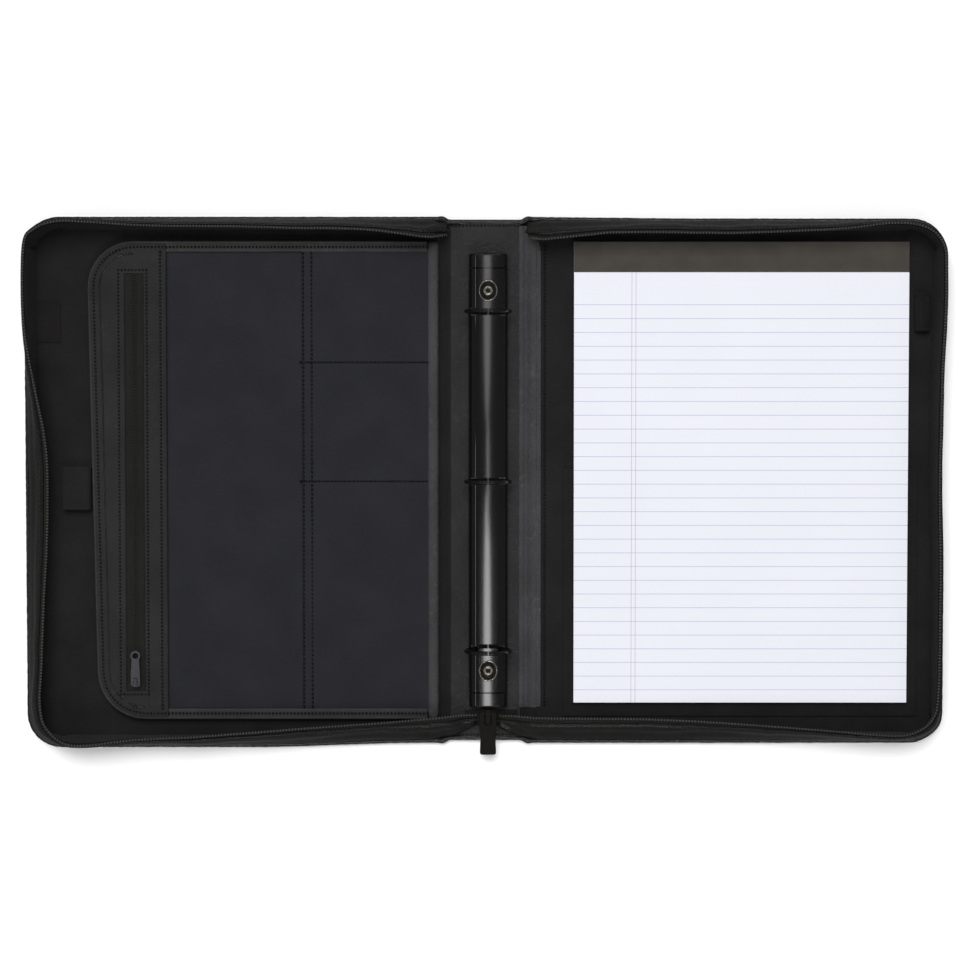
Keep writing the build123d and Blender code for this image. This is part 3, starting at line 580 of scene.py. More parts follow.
def cover_shell(side, name, body):
    """The stiff padded cover: leather outside, and the cloth lining as a sheet of its own."""
    far, tall = CASE_HALF_WIDTH - SHELL_INSET, CASE_HALF_HEIGHT - SHELL_INSET
    low, high = sorted((side * COVER_NEAR_X, side * far))
    radius = CORNER_RADIUS - SHELL_INSET
    warp = corner_warp(side * (far - CORNER_REACH), side * far, -tall, tall, radius)
    shell = block(
        f"{name}_shell", (low, -tall), (high, tall), 0.0, 3.3, LEATHER, 1.2, step=8.0, warp=warp
    )
    place(shell, body, "cover_leather", f"{name}_skin", f"{name}_foam", f"{name}_board")
    inner = CASE_HALF_HEIGHT - BINDING_WIDTH
    edge_x = CASE_HALF_WIDTH - BINDING_WIDTH
    low, high = sorted((side * (CREASE_X + 4.4), side * edge_x))

    def wrinkles(x, y):
        return 0.12 * ripple(x, y, size=38.0, seed=side + 3.0) + 0.05 * ripple(x, y, size=9.0)

    radius = CORNER_RADIUS - BINDING_WIDTH
    warp = corner_warp(side * (edge_x - CORNER_REACH), side * edge_x, -inner, inner, radius)
    lining = block(
        f"{name}_lining_cloth", (low, -inner), (high, inner), 3.32, 3.9, LINING, 0.5, 6.0,
        wrinkles, warp,
    )
    place(lining, body, "lining", f"{name}_lining")


def cover_binding(side, name, body):
    """Glossy piping rolled round the cover's free edges, puckered by its stitches."""
    path = outline_points(side, 2.1, 2.15)

    def pucker(k):
        x, y, _ = path[k]
        return 0.97 + 0.09 * ripple(x, y, size=2.6, seed=5.0) + 0.05 * ripple(x, y, size=14.0)

    piping = sweep(f"{name}_piping", path, round_section(2.0, 12), PIPING, scale=pucker)
    place(piping, body, "cover_leather", f"{name}_binding")
    sewn = [point for point in outline_points(side, 4.0, 4.05) if abs(point[0]) > 33.0]
    stitch_line(f"{name}_piping_stitches", sewn, body, material=STITCH_LIGHT)


# ---- zip gusset ----
# Where each chain runs, in x and y, from the spine's top end round to its bottom end. Points with
# a third number are the gathered ends over the spine and give their own height.

CHAIN_FRONT = (
    (-24.4, 158.6, 9.0), (-31.0, 157.2, 16.0), (-39.0, 156.4), (-73.0, 160.8),
    (-117.0, 161.8), (-155.0, 162.8), (-212.0, 163.4), (-250.0, 165.6),
    (-270.0, 166.0), (-284.0, 161.0), (-290.6, 150.0), (-291.0, 102.0),
    (-284.6, 61.0), (-279.6, 33.0), (-277.6, 7.5), (-278.2, -37.0),
    (-280.2, -75.0), (-281.6, -112.0), (-282.8, -138.0), (-280.0, -154.0),
    (-268.0, -164.5), (-252.0, -166.0), (-224.0, -162.8), (-180.0, -160.4),
    (-123.5, -156.4), (-66.6, -152.6), (-39.0, -150.4), (-27.0, -149.4, 17.0),
    (-15.0, -148.9, 11.0), (-6.0, -149.0, 7.6),
)
CHAIN_BACK = (
    (27.8, 156.8, 11.0), (32.5, 155.8, 17.5), (39.0, 155.2), (66.0, 158.0),
    (85.0, 159.6), (135.0, 159.4), (160.0, 159.4), (199.0, 160.8),
    (230.0, 162.8), (256.0, 166.0), (277.0, 163.6), (288.6, 152.0),
    (290.6, 132.0), (290.4, 60.0), (289.4, 0.0), (288.6, -70.0),
    (287.8, -132.0), (284.0, -150.0), (270.0, -161.0), (249.0, -161.4),
    (217.6, -158.0), (173.4, -154.2), (135.5, -151.6), (100.0, -150.4),
    (66.0, -150.0), (39.0, -149.8), (29.0, -149.4, 17.0), (18.0, -149.2, 11.0),
    (9.6, -149.4, 7.6),
)
WALL_SLANT = 22.2  # the wall's height, measured along it
WALL_LOWEST = 10.0
WALL_INSET = 2.4  # from the cover's edge to the wall's foot
FACING_INSET = 6.2  # how far inside the wall's foot the cloth facing meets the lining
FACING_NEAR_X = 42.0
FACING_SIDE_X = 270.0  # past this the facing is set in from the side as well
FACING_THICKNESS = 0.45
SOFT_FROM, SOFT_TO = 20.0, 40.0  # the x range handed to bend for the wall pieces
GATHER_FROM_X = 62.0  # the wall starts to gather here, and is fully gathered GATHER_RUN further in
GATHER_RUN = 24.0
SLACK_LEAN = 9.0  # a wall that leans this far in is fully slack
ACROSS = math.pi / 2  # zip coils lie across their chain
WALL_NEAR_X = 39.0  # inside this the wall is gathered down to the spine
TAPE_SHARE = 0.84  # where up the wall the leather ends and the zip tape begins
TOP_FEET = ((24.0, 166.6), (31.0, 167.4), (39.0, 168.1))
BOTTOM_FEET = ((5.0, 155.5), (12.0, 160.5), (22.0, 165.2), (30.0, 167.4), (39.0, 168.1))


def wall_foot(x, y):
    """The foot of the gusset wall below a chain point."""
    side = 1 if x > 0 else -1
    far = CASE_HALF_WIDTH - WALL_INSET
    tall = CASE_HALF_HEIGHT - WALL_INSET
    radius = CORNER_RADIUS - WALL_INSET
    across = abs(x)
    cx, cy = far - radius, tall - radius
    if across < WALL_NEAR_X:
        feet = TOP_FEET if y > 0 else BOTTOM_FEET
        foot_y = np.interp(across, [p[0] for p in feet], [p[1] for p in feet])
        return x, math.copysign(foot_y, y)
    if across > cx and abs(y) > cy:
        dx, dy = across - cx, abs(y) - cy
        size = max(1e-6, math.hypot(dx, dy))
        return side * (cx + radius * dx / size), math.copysign(cy + radius * dy / size, y)
    if far - across < tall - abs(y):
        return side * far, y
    return x, math.copysign(tall, y)


def chain_with_heights(chain):
    """The chain's control points with the height that the wall's slant leaves them."""
    placed = []
    for x, y, *given in chain:
        if given:
            placed.append((x, y, given[0]))
            continue
        foot = wall_foot(x, y)
        lean = math.hypot(x - foot[0], y - foot[1])
        placed.append((x, y, BINDING_TOP + math.sqrt(max(WALL_LOWEST**2, WALL_SLANT**2 - lean**2))))
    return placed


def wall_surface(tops, feet):
    """A function for points of the wall: (share of its height, place along it, offset)."""
    last = len(tops) - 1
    normals = []
    for k in range(len(tops)):
        along = tops[min(k + 1, last)] - tops[max(k - 1, 0)]
        normal = np.cross(along, tops[k] - feet[k])
        normal /= max(1e-6, np.linalg.norm(normal))
        outward = np.array([feet[k][0] * 0.6, feet[k][1], 20.0])
        normals.append(normal if np.dot(normal, outward) > 0 else -normal)

    def surface(share, k, offset):
        """Bulged out near the foot, puckered, and with folds at the ends."""
        x, y, _ = feet[k]
        gathered = min(1.0, max(0.0, (GATHER_FROM_X - abs(x)) / GATHER_RUN))
        lean = math.hypot(tops[k][0] - x, tops[k][1] - y)
        slack = min(1.0, lean / SLACK_LEAN)
        arch = math.sin(math.pi * share)
        bulge = (0.15 + 1.25 * slack + 0.5 * gathered) * arch
        pucker = 0.6 * slack * ripple(x, y, share * 9.0, size=11.0, seed=7.0)
        pucker += 0.7 * slack * ripple(x, y, share * 20.0, size=34.0, seed=2.0)
        drift = 2.4 * ripple(x, y, size=45.0, seed=31.0)
        pucker += 0.55 * slack * arch * math.sin(11.0 * share + drift)
        pucker += gathered * 1.5 * ripple(x + 9 * share, y, share * 14.0, size=8.0, seed=12.0)
        fade = math.sin(math.pi * min(1.0, 0.12 + share * 0.8))
        centre = feet[k] + share * (tops[k] - feet[k])
        return centre + (bulge + pucker * fade + offset) * normals[k]

    return surface


def gusset_wall(side, name, chain):
    """Leather wall, zip tape and coil teeth, gathered at both ends down to the spine."""
    tops = smooth_path(chain_with_heights(chain), 2.0)
    feet = np.array([(*wall_foot(x, y), BINDING_TOP - 0.1) for x, y, _ in tops])
    surface = wall_surface(tops, feet)

    def line(share, offset):
        """A line along the wall, part of the way up it."""
        return np.array([surface(share, k, offset) for k in range(len(feet))])

    def ribbon(label, shares, thickness, lift, material):
        """A band of the wall with some thickness."""
        loop = [(s, lift + thickness / 2) for s in shares]
        loop += [(s, lift - thickness / 2) for s in reversed(shares)]
        points = [surface(s, k, o) for k in range(len(feet)) for s, o in loop]
        return build_mesh(f"{name}_{label}", points, tube_faces(len(feet), len(loop)), material)

    def cord(label, share, offset, radius, material):
        return sweep(f"{name}_{label}", line(share, offset), round_section(radius, 8), material)

    leather_shares = list(np.linspace(0.0, TAPE_SHARE, 9))
    tape_shares = list(np.linspace(TAPE_SHARE - 0.06, 0.985, 5))
    wall = ribbon("gusset_leather", leather_shares, 1.0, 0.0, LEATHER_GLOSS)
    tape = ribbon("zip_tape_cloth", tape_shares, 0.6, -0.85, TAPE)
    hem = cord("gusset_hem", TAPE_SHARE - 0.03, 0.55, 0.55, LEATHER_GLOSS)
    seam = line(TAPE_SHARE - 0.10, 0.62)
    sewn = beads(f"{name}_gusset_stitches", seam, STITCH_LIGHT, 3.3, 2.5, 0.32)
    crest = line(1.0, -0.3)
    teeth = beads(f"{name}_zip_coil", crest, COIL, 1.95, 1.5, 0.42, turn=ACROSS, flatten=1.2)
    core = cord("zip_core", 0.97, -0.6, 0.6, COIL_DARK)
    for piece, slot, *replaced in (
        (wall, "cover_leather", f"{name}_gusset"),
        (tape, "zip_tape", f"{name}_zip_tape"),
        (hem, "cover_leather"),
        (sewn, "cover_leather"),
        (teeth, "zip_teeth", f"{name}_zip_teeth"),
        (core, "zip_teeth"),
    ):
        bend(piece, side, SOFT_FROM, SOFT_TO, slot, *replaced)
    gusset_facing(side, name, feet, surface)


def gusset_facing(side, name, feet, surface):
    """The cloth inside the wall: from under the zip down to the lining, well inside the foot."""
    rows = []
    for k in range(len(feet)):
        x, y, _ = feet[k]
        if abs(x) <= FACING_NEAR_X:
            continue
        out_x = x - side * 160.0 if abs(x) > FACING_SIDE_X else 0.0
        out_y = y if abs(y) >= CASE_HALF_HEIGHT - 20 else 0.0
        outward = np.array([out_x, out_y, 0.0])
        inward = -outward / max(1e-6, np.linalg.norm(outward))
        low = feet[k] + FACING_INSET * inward + np.array([0, 0, 0.15])
        high = surface(0.93, k, -1.5)
        row = []
        for share in np.linspace(0.0, 1.0, 9):
            wave = 0.5 * ripple(low[0], low[1], 14.0 * share, size=16.0, seed=20.0)
            sag = wave * share - math.sin(math.pi * share)
            row.append(low + share * (high - low) + np.array([0, 0, sag]))
        rows.append(row)
    grid = np.array(rows)
    under = grid - np.array([0, 0, FACING_THICKNESS])
    facing = grid_solid(f"{name}_gusset_facing", grid, under, LINING)
    place(facing, f"{name}_cover", "lining")


for side, name, chain in ((-1, "front", CHAIN_FRONT), (1, "back", CHAIN_BACK)):
    body = f"{name}_cover"
    cover_shell(side, name, body)
    cover_binding(side, name, body)
    gusset_wall(side, name, chain)

# ---- spine ----

STRIP_STEP = 6.0
END_ROW = 0.4  # a row this far from each end of a strip keeps its shading flat up to the edge


def strip(name, profile, y_range, material, thickness=0.6, relief=None):
    """A sheet bent to an (x, z) profile and run along Y, with some thickness below it."""
    profile = smooth_path(profile, 0.8)
    run = resample([(y_range[0],), (y_range[1],)], STRIP_STEP)[:, 0]
    ys = np.concatenate([run[:1], run[:1] + END_ROW, run[1:-1], run[-1:] - END_ROW, run[-1:]])
    lower = np.array([[(x, y, z - thickness) for x, z in profile] for y in ys])
    upper = lower + (0.0, 0.0, thickness)
    if relief:
        upper[:, :, 2] += [[relief(x, y) for x, _ in profile] for y in ys]
    return grid_solid(name, upper, lower, material)


def carrier_relief(x, y):
    return 0.16 * ripple(x, y, size=26.0, seed=4.0) + 0.05 * ripple(x, y, size=7.0)


SPINE_END_Y = 166.4
spine_outer = block("spine_shell", (-25.0, -168.6), (25.0, 168.6), 0.0, 1.25, LEATHER, edge=0.6)
place(spine_outer, "spine", "cover_leather", "spine_skin", "spine_board")
CARRIER = ((-22.6, 1.9), (-18.0, 2.4), (-14.5, 3.2), (-11.0, 3.36), (19.0, 3.36), (22.6, 3.3))
carrier = strip(
    "binder_carrier", CARRIER, (-SPINE_END_Y, SPINE_END_Y), LEATHER_SOFT, relief=carrier_relief
)
place(carrier, "spine", "cover_leather", "spine_lining")
for end, label in ((1, "top"), (-1, "bottom")):
    edge = resample([(-22.0, end * 166.9, 2.3), (22.0, end * 166.9, 2.3)], 1.0)

    def edge_pucker(k, edge=edge):
        return 1.0 + 0.09 * ripple(edge[k][0], edge[k][1], size=2.6, seed=5.0)

    roll = sweep(f"spine_piping_{label}", edge, round_section(1.6, 12), PIPING, scale=edge_pucker)
    place(roll, "spine", "cover_leather", *(["spine_binding"] if end > 0 else []))
    sewn = [(-21.0, end * 164.6, 3.45), (21.0, end * 164.6, 3.45)]
    stitch_line(f"spine_stitches_{label}", sewn, "spine")


PIPING_STEP = (
    (21.6, 166.9, 2.3), (23.6, 167.0, 2.35), (25.6, 167.9, 2.6), (27.4, 168.7, 2.7),
    (29.6, 168.4, 2.2),
)


def piping_across(side, name, end, label):
    """The binding steps in from the cover's edge to the spine's in an S over the crease."""
    path = smooth_path([(side * x, end * y, z) for x, y, z in PIPING_STEP], 0.7)

    def swell(k):
        return 0.82 + 0.22 * k / (len(path) - 1)

    made = sweep(f"{name}_piping_crease_{label}", path, round_section(2.0, 12), PIPING, scale=swell)
    bend(made, side, 22.5, 29.0, "cover_leather")


def crease_strip(label, side, profile, y_range, material, slot):
    """A strip of cloth or leather down a crease, from the spine's edge to the cover's."""
    made = strip(label, profile, y_range, material, 0.5, relief=carrier_relief)
    bend(made, side, 23.0, 31.0, slot)


OUTER_CREASE = ((24.6, 0.56), (27.0, 0.56), (29.4, 0.56))
LEFT_CREASE = ((22.0, 2.1), (24.5, 1.6), (27.0, 1.65), (29.5, 3.0), (32.0, 4.15))
RIGHT_CREASE = (
    (21.8, 3.38), (24.2, 3.2), (25.6, 2.4), (26.6, 2.4), (28.2, 3.4), (30.4, 4.5), (33.0, 4.8)
)
for side, name in ((-1, "front"), (1, "back")):
    over = [(side * x, z) for x, z in OUTER_CREASE]
    outer = strip(f"{name}_crease_outer", over, (-168.6, 168.6), LEATHER, thickness=0.5)
    bend(outer, side, 25.2, 28.8, "cover_leather")
    if side < 0:
        left = [(-x, z) for x, z in LEFT_CREASE]
        crease_strip("front_crease_inner", side, left, (-166.0, 166.0), LINING, "lining")
    else:
        # Painted light: this crease strip takes the lighter copy of the carrier leather.
        crease_strip(
            "back_crease_inner", side, RIGHT_CREASE, (-144.5, 164.5), LEATHER_PAINTED_LIGHT, "cover_leather"
        )
        # Painted shade: dark lining cloth fills the crease's lower end, where the carrier lies in
        # shade below the wing.
        lower = [(x, z - 0.6) for x, z in RIGHT_CREASE]
        crease_strip("back_crease_painted_shade", side, lower, (-166.0, -143.0), LINING, "lining")
    piping_across(side, name, 1, "top")
    piping_across(side, name, -1, "bottom")

wing_warp = corner_warp(31.6, 35.8, -400, 160.0, 4.2)  # only its upper corner is round
# Painted light: the wing takes the lighter copy of the carrier leather.
wing = block(
    "carrier_wing", (31.6, -144.0), (35.8, 160.0), 4.0, 4.75, LEATHER_PAINTED_LIGHT, 0.5, warp=wing_warp
)
place(wing, "back_cover", "cover_leather", "spine_wing")
stitch_line("carrier_wing_stitches", [(38.2, -143.0, 4.05), (38.2, 158.0, 4.05)], "back_cover")

# ---- rivets ----

RIVET_CENTRES = ((2.0, 122.9), (2.0, -119.9))
RIVET_OVAL = (5.85, 6.6)
LATHE_SIDES = 48


def turned(name, centre, profile, material):
    """A lathe-like solid: each profile row is (radius along x, radius along y, z)."""
    turns = np.linspace(0, 2 * math.pi, LATHE_SIDES, endpoint=False)
    points = [
        (centre[0] + rx * math.cos(a), centre[1] + ry * math.sin(a), z)
        for rx, ry, z in profile
        for a in turns
    ]
    return build_mesh(name, points, tube_faces(len(profile), LATHE_SIDES, looped=True), material)


def oval(*rows):
    """Profile rows that keep the rivet's oval: each is (how far in, z)."""
    return [(RIVET_OVAL[0] - inset, RIVET_OVAL[1] - inset, z) for inset, z in rows]


def round_rows(*rows):
    """Profile rows that are circles: each is (radius, z)."""
    return [(radius, radius, z) for radius, z in rows]


RIVET_RIM = oval(
    (0, 9.4), (0, 11.45), (0.15, 11.65), (0.45, 11.6), (0.6, 11.3), (1.0, 9.9), (1.3, 9.4)
)
RIVET_DISH = [
    *oval((0.9, 9.4), (0.9, 9.9)), (3.4, 3.6, 9.55), *round_rows((2.1, 9.5), (2.1, 9.1)),
    *oval((1.3, 9.1)),
]
RIVET_HEAD = round_rows(
    (3.0, 9.5), (3.0, 10.5), (2.8, 11.0), (2.4, 11.2), (1.9, 11.1), (1.6, 10.8), (1.45, 10.2),
    (1.4, 8.8), (2.2, 8.8), (2.2, 9.5),
)
RIVET_CORE = round_rows((1.5, 8.9), (0.05, 9.0), (0.05, 3.5), (2.2, 3.5), (2.2, 8.9))
for label, centre in zip(("top", "bottom"), RIVET_CENTRES):
    for part, profile, finish, slot in (
        ("rim", RIVET_RIM, BRIGHT, "rivet_metal"),
        ("dish", RIVET_DISH, ENAMEL, "ring_metal"),
        ("head", RIVET_HEAD, BRIGHT, "rivet_metal"),
        ("core", RIVET_CORE, ENAMEL, "rivet_metal"),
    ):
        replaced = ["plate_rivets"] if (part, label) == ("rim", "top") else []
        made = turned(f"rivet_{part}_{label}", centre, profile, finish)
        place(made, "spine", slot, *replaced)

# ---- zip sliders and the joined end of the main zip ----

tail = block(
    "zip_tail_cloth", (-13.0, -156.4), (21.0, -145.8), 3.45, 4.0, TAPE, edge=0.3, step=3.0
)
place(tail, "spine", "zip_tape", "zip_tail")
tail_coil = beads(
    "zip_tail_coil", [(1.9, -156.2, 5.0), (1.9, -146.0, 5.0)], COIL, 1.3, 3.6, 0.6,
    turn=ACROSS, flatten=1.4,
)
place(tail_coil, "spine", "zip_teeth")


def cut_plate(name, outlines, bottom, top, rim, material):
    """A flat plate cut to closed outlines in x and y, holes included, with rounded rims."""
    curve = bpy.data.curves.new(name, "CURVE")
    curve.dimensions = "2D"
    curve.fill_mode = "BOTH"
    curve.extrude = ((top - bottom) / 2 - rim) * MM
    curve.bevel_depth = rim * MM
    curve.bevel_resolution = 3
    curve.offset = -rim * MM
    for outline in outlines:
        spline = curve.splines.new("POLY")
        spline.points.add(len(outline) - 1)
        for point, (x, y) in zip(spline.points, outline):
            point.co = (x * MM, y * MM, 0, 1)
        spline.use_cyclic_u = True
    holder = bpy.data.objects.new(name, curve)
    mesh = bpy.data.meshes.new_from_object(holder)
    mesh.name = name
    bpy.data.objects.remove(holder)
    for vertex in mesh.vertices:
        vertex.co.z += (top + bottom) / 2 * MM
    mesh.materials.clear()
    mesh.materials.append(material)
    made = bpy.data.objects.new(name, mesh)
    bpy.context.scene.collection.objects.link(made)
    return made


def circle(x, y, radius):
    return [(x + across, y + up) for across, up in round_section(radius, 32)]


def rounded_loop(points, radius):
    """A polygon with every corner rounded by a quadratic curve."""
    points = np.asarray(points, float)
    loop = []
    for k in range(len(points)):
        before, here, after = points[k - 1], points[k], points[(k + 1) % len(points)]
        first = here + radius * (before - here) / np.linalg.norm(before - here)
        last = here + radius * (after - here) / np.linalg.norm(after - here)
        for t in np.linspace(0, 1, 6):
            loop.append(tuple((1 - t) ** 2 * first + 2 * t * (1 - t) * here + t**2 * last))
    return loop


def tapered(x, start, end):
    """Four corners on both sides of x; start and end are (half width, y)."""
    (near, y), (far, far_y) = start, end
    return [(x - near, y), (x + near, y), (x + far, far_y), (x - far, far_y)]


low, high = node_box("zip_pull")
pull_x = (low[0] + high[0]) / 2
pull_half = (high[0] - low[0]) / 2
waist = ((1.0, high[1] - 0.4), (1.0, high[1] - 9.0), (0.86, high[1] - 15.0), (0.96, low[1]))
tab_outline = [(pull_x - pull_half * wide, y) for wide, y in waist]
tab_outline += [(pull_x + pull_half * wide, y) for wide, y in reversed(waist)]
tab_window = tapered(pull_x, (2.1, high[1] - 1.9), (2.1, high[1] - 8.2))
outlines = [rounded_loop(tab_outline, 1.9), rounded_loop(tab_window, 0.7)]
main_pull = cut_plate("zip_pull_tab", outlines, low[2], high[2], 0.45, GUNMETAL)
place(main_pull, "zip_pull", "zip_metal", "zip_pull")
panel_outline = tapered(pull_x, (3.1, high[1] - 11.5), (3.3, low[1] + 3.0))
outlines = [rounded_loop(panel_outline, 1.0)]
raised = cut_plate("zip_pull_panel", outlines, high[2] - 0.4, high[2] + 0.18, 0.2, GUNMETAL)
place(raised, "zip_pull", "zip_metal")

low, high = node_box("pocket_zip_pull")
pull_x = (low[0] + high[0]) / 2
tip_y = high[1] - 3.3
neck = [
    (pull_x - 3.0, low[1] + 0.3),
    (pull_x + 3.0, low[1] + 0.3),
    (pull_x + 3.0, low[1] + 5.6),
    (pull_x + 2.6, tip_y - 5.5),
    (pull_x + 2.4, tip_y - 2.0),
]
ring_arc = [
    (pull_x + 3.2 * math.cos(a), tip_y + 3.2 * math.sin(a))
    for a in np.linspace(math.radians(-38), math.radians(218), 26)
]
mirrored = [(2 * pull_x - x, y) for x, y in reversed(neck[2:])]
window = tapered(pull_x, (1.25, low[1] + 1.2), (1.25, low[1] + 4.9))
outlines = [neck[1:] + ring_arc + mirrored + neck[:1], circle(pull_x, tip_y, 1.9), window]
pocket_pull = cut_plate("pocket_pull_tab", outlines, low[2], high[2], 0.25, NICKEL)
place(pocket_pull, "pocket_pull", "zip_metal", "pocket_zip_pull")

# ---- organizer on the front cover ----

ORG_TOP, ORG_BOTTOM = 154.6, -151.5
ORG_LEFT_TOP, ORG_LEFT_BOTTOM = -254.0, -248.0
ORG_RIGHT = -30.0
ORG_RADIUS = 30.0
BAND_RIGHT = -203.0
BORDER = 7.0
PIPING_LEFT = -37.0
WINDOW_X = -223.8
WINDOW = (WINDOW_X - 5.75, WINDOW_X + 5.75, -133.0, 133.6)


GROOVE_INSET = 7.9  # the groove where the padding starts
GROOVE_END = -226.0  # it runs out over the zip window
WARP_FROM_X = -232.0  # the slant moves nothing to the right of this, except near both ends
WARP_END, WARP_RUN = 16.6, 8.0  # this near an end it starts to spread over the whole band


def organizer_left(y):
    share = (y - ORG_BOTTOM) / (ORG_TOP - ORG_BOTTOM)
    return ORG_LEFT_BOTTOM + share * (ORG_LEFT_TOP - ORG_LEFT_BOTTOM)


def organizer_warp(x, y):
    """Slants the left edge and rounds its corners, and leaves the zip window where it is."""
    end = min(ORG_TOP - y, y - ORG_BOTTOM)
    near = ORG_RADIUS - end
    inward = 0.0
    if near > 0:
        inward = ORG_RADIUS - math.sqrt(max(0.0, ORG_RADIUS**2 - near**2))
    inward += organizer_left(y) - ORG_LEFT_TOP
    blend = min(1.0, max(0.0, (WARP_END - end) / WARP_RUN))
    start = WARP_FROM_X + blend * (BAND_RIGHT - WARP_FROM_X)
    share = max(0.0, (x - start) / (ORG_LEFT_TOP - start))
    return x + inward * share, y


def organizer_outline(inset, z, x_end=PIPING_LEFT):
    """The organizer's top, left and bottom edges, some way in."""
    top, bottom = ORG_TOP - inset, ORG_BOTTOM + inset
    radius = ORG_RADIUS - inset
    points = [(x_end, top, z)]
    for centre_y, angles in ((top - radius, (90, 180)), (bottom + radius, (180, 270))):
        for step in range(9):
            angle = math.radians(angles[0] + (angles[1] - angles[0]) * step / 8)
            y = centre_y + radius * math.sin(angle)
            x = organizer_left(y) + inset + radius + radius * math.cos(angle)
            points.append((x, y, z))
    points.append((x_end, bottom, z))
    return resample(points, 1.5)


def band_relief(x, y):
    """A rolled outer edge, then the groove where the padding starts, and soft dents."""
    away = min(x - organizer_left(y), ORG_TOP - y, y - ORG_BOTTOM)
    groove = -0.8 * math.exp(-(((away - GROOVE_INSET) / 0.6) ** 2))
    seam = -0.35 * math.exp(-(((x + 207.0) / 0.9) ** 2))
    seam -= 0.25 * math.exp(-(((abs(x - WINDOW_X) - 8.0) / 0.9) ** 2))
    swell = 0.12 * ripple(x, y, size=16.0, seed=11.0) + 0.05 * ripple(x, y, size=5.0)
    return groove + seam + swell - 0.1


leaf_xs = [*steps_with_edges(ORG_LEFT_TOP, BAND_RIGHT, 0.6, 10), -150, -90, ORG_RIGHT]
leaf_ys = steps_with_edges(ORG_BOTTOM, ORG_TOP, 0.6, 60)
backing = panel(
    "organizer_leaf", leaf_xs, leaf_ys, 4.05, 4.8, LEATHER, edge=0.6, warp=organizer_warp
)
place(backing, "front_cover", "cover_leather", "organizer_back")


def with_window(steps, low, high, *seams):
    """Grid lines for the band: those given, more at both sides of the window, and at seams."""
    beside = [edge for away in (0.0, 0.4, 1.0) for edge in (low - away, high + away)]
    return np.unique([*steps, *beside, *seams])


band_seams = (-247.5, -246.8, -246.1, -207.6, -206.4)  # the groove's slope, and the inner seam
band_xs = steps_with_edges(ORG_LEFT_TOP, BAND_RIGHT, 1.4, 24)
band_ys = steps_with_edges(ORG_BOTTOM, ORG_TOP, 1.4, 96)
band_xs = with_window(band_xs, *WINDOW[:2], *band_seams)
band_ys = with_window(band_ys, *WINDOW[2:])
band = panel(
    "organizer_band_leather", band_xs, band_ys, 4.85, 9.0, LEATHER, 1.4, organizer_warp,
    WINDOW, band_relief,
)
place(band, "front_cover", "cover_leather", "organizer_band")


def settled_sheet(xs, ys, held, give, rise, seed):
    """Cloth simulated between its seams; returns how high each grid point rises, in mm."""
    heights = np.array([[0.5 + 0.5 * ripple(x, y, size=30.0, seed=seed) for x in xs] for y in ys])
    pins = np.array([[held(x, y) for x in xs] for y in ys])
    nx, ny = len(xs), len(ys)
    points = [(x, y, 0.3 * heights[j, i]) for j, y in enumerate(ys) for i, x in enumerate(xs)]
    faces = [
        (j * nx + i, j * nx + i + 1, (j + 1) * nx + i + 1, (j + 1) * nx + i)
        for j in range(ny - 1)
        for i in range(nx - 1)
    ]
    cloth = build_mesh("settling_cloth", points, faces, LINING)
    group = cloth.vertex_groups.new(name="held")
    for index, pin in enumerate(pins.ravel()):
        if pin:
            group.add([index], float(pin), "REPLACE")
    settings = cloth.modifiers.new("cloth", "CLOTH").settings
    settings.quality = 6
    settings.mass = 0.15
    settings.tension_stiffness = 12
    settings.compression_stiffness = 12
    settings.bending_stiffness = 0.02
    settings.shrink_min = -give
    settings.use_pressure = True
    settings.uniform_pressure_force = 1.5
    settings.effector_weights.gravity = 0
    settings.vertex_group_mass = "held"
    for step in range(1, 21):
        bpy.context.scene.frame_set(step)
    graph = bpy.context.evaluated_depsgraph_get()
    moved = cloth.evaluated_get(graph).data.vertices
    result = np.array([v.co.z / MM for v in moved]).reshape(ny, nx)
    bpy.data.objects.remove(cloth)
    bpy.context.scene.frame_set(1)
    result -= result.min()
    return rise * result / max(1e-6, result.max())


def settled_panel(name, xs, ys, bottom, top, material, held, give, rise, seed):
    """A sheet of cloth with the simulated heights as its upper side."""
    heights = settled_sheet(xs, ys, held, give, rise, seed)
    row = {round(float(y), 4): j for j, y in enumerate(ys)}
    column = {round(float(x), 4): i for i, x in enumerate(xs)}

    def relief(x, y):
        return heights[row[round(float(y), 4)], column[round(float(x), 4)]]

    return panel(name, xs, ys, bottom, top, material, 0.5, relief=relief)


POCKET_LEFT = -116.6
POCKET_SEAMS = (77.3, 1.3)
INNER_Y = (ORG_BOTTOM + BORDER, ORG_TOP - BORDER)
nylon_xs = steps_with_edges(BAND_RIGHT - 2.0, PIPING_LEFT + 2.0, 0.5, 42)
nylon_ys = steps_with_edges(INNER_Y[0] - 1.0, INNER_Y[1] + 1.0, 0.5, 72)


def panel_held(x, y):
    """The nylon is sewn in round its edges and under the card pockets' left seam."""
    margin = min(x - nylon_xs[0], nylon_xs[-1] - x, y - nylon_ys[0], nylon_ys[-1] - y)
    return 1.0 if margin < 3.0 or abs(x - POCKET_LEFT - 2.0) < 2.5 else 0.0


nylon = settled_panel(
    "organizer_nylon", nylon_xs, nylon_ys, 4.85, 6.75, NYLON, panel_held, 0.012, 0.55, 3.0
)
place(nylon, "front_cover", "nylon", "nylon_panel", "organizer_padding")

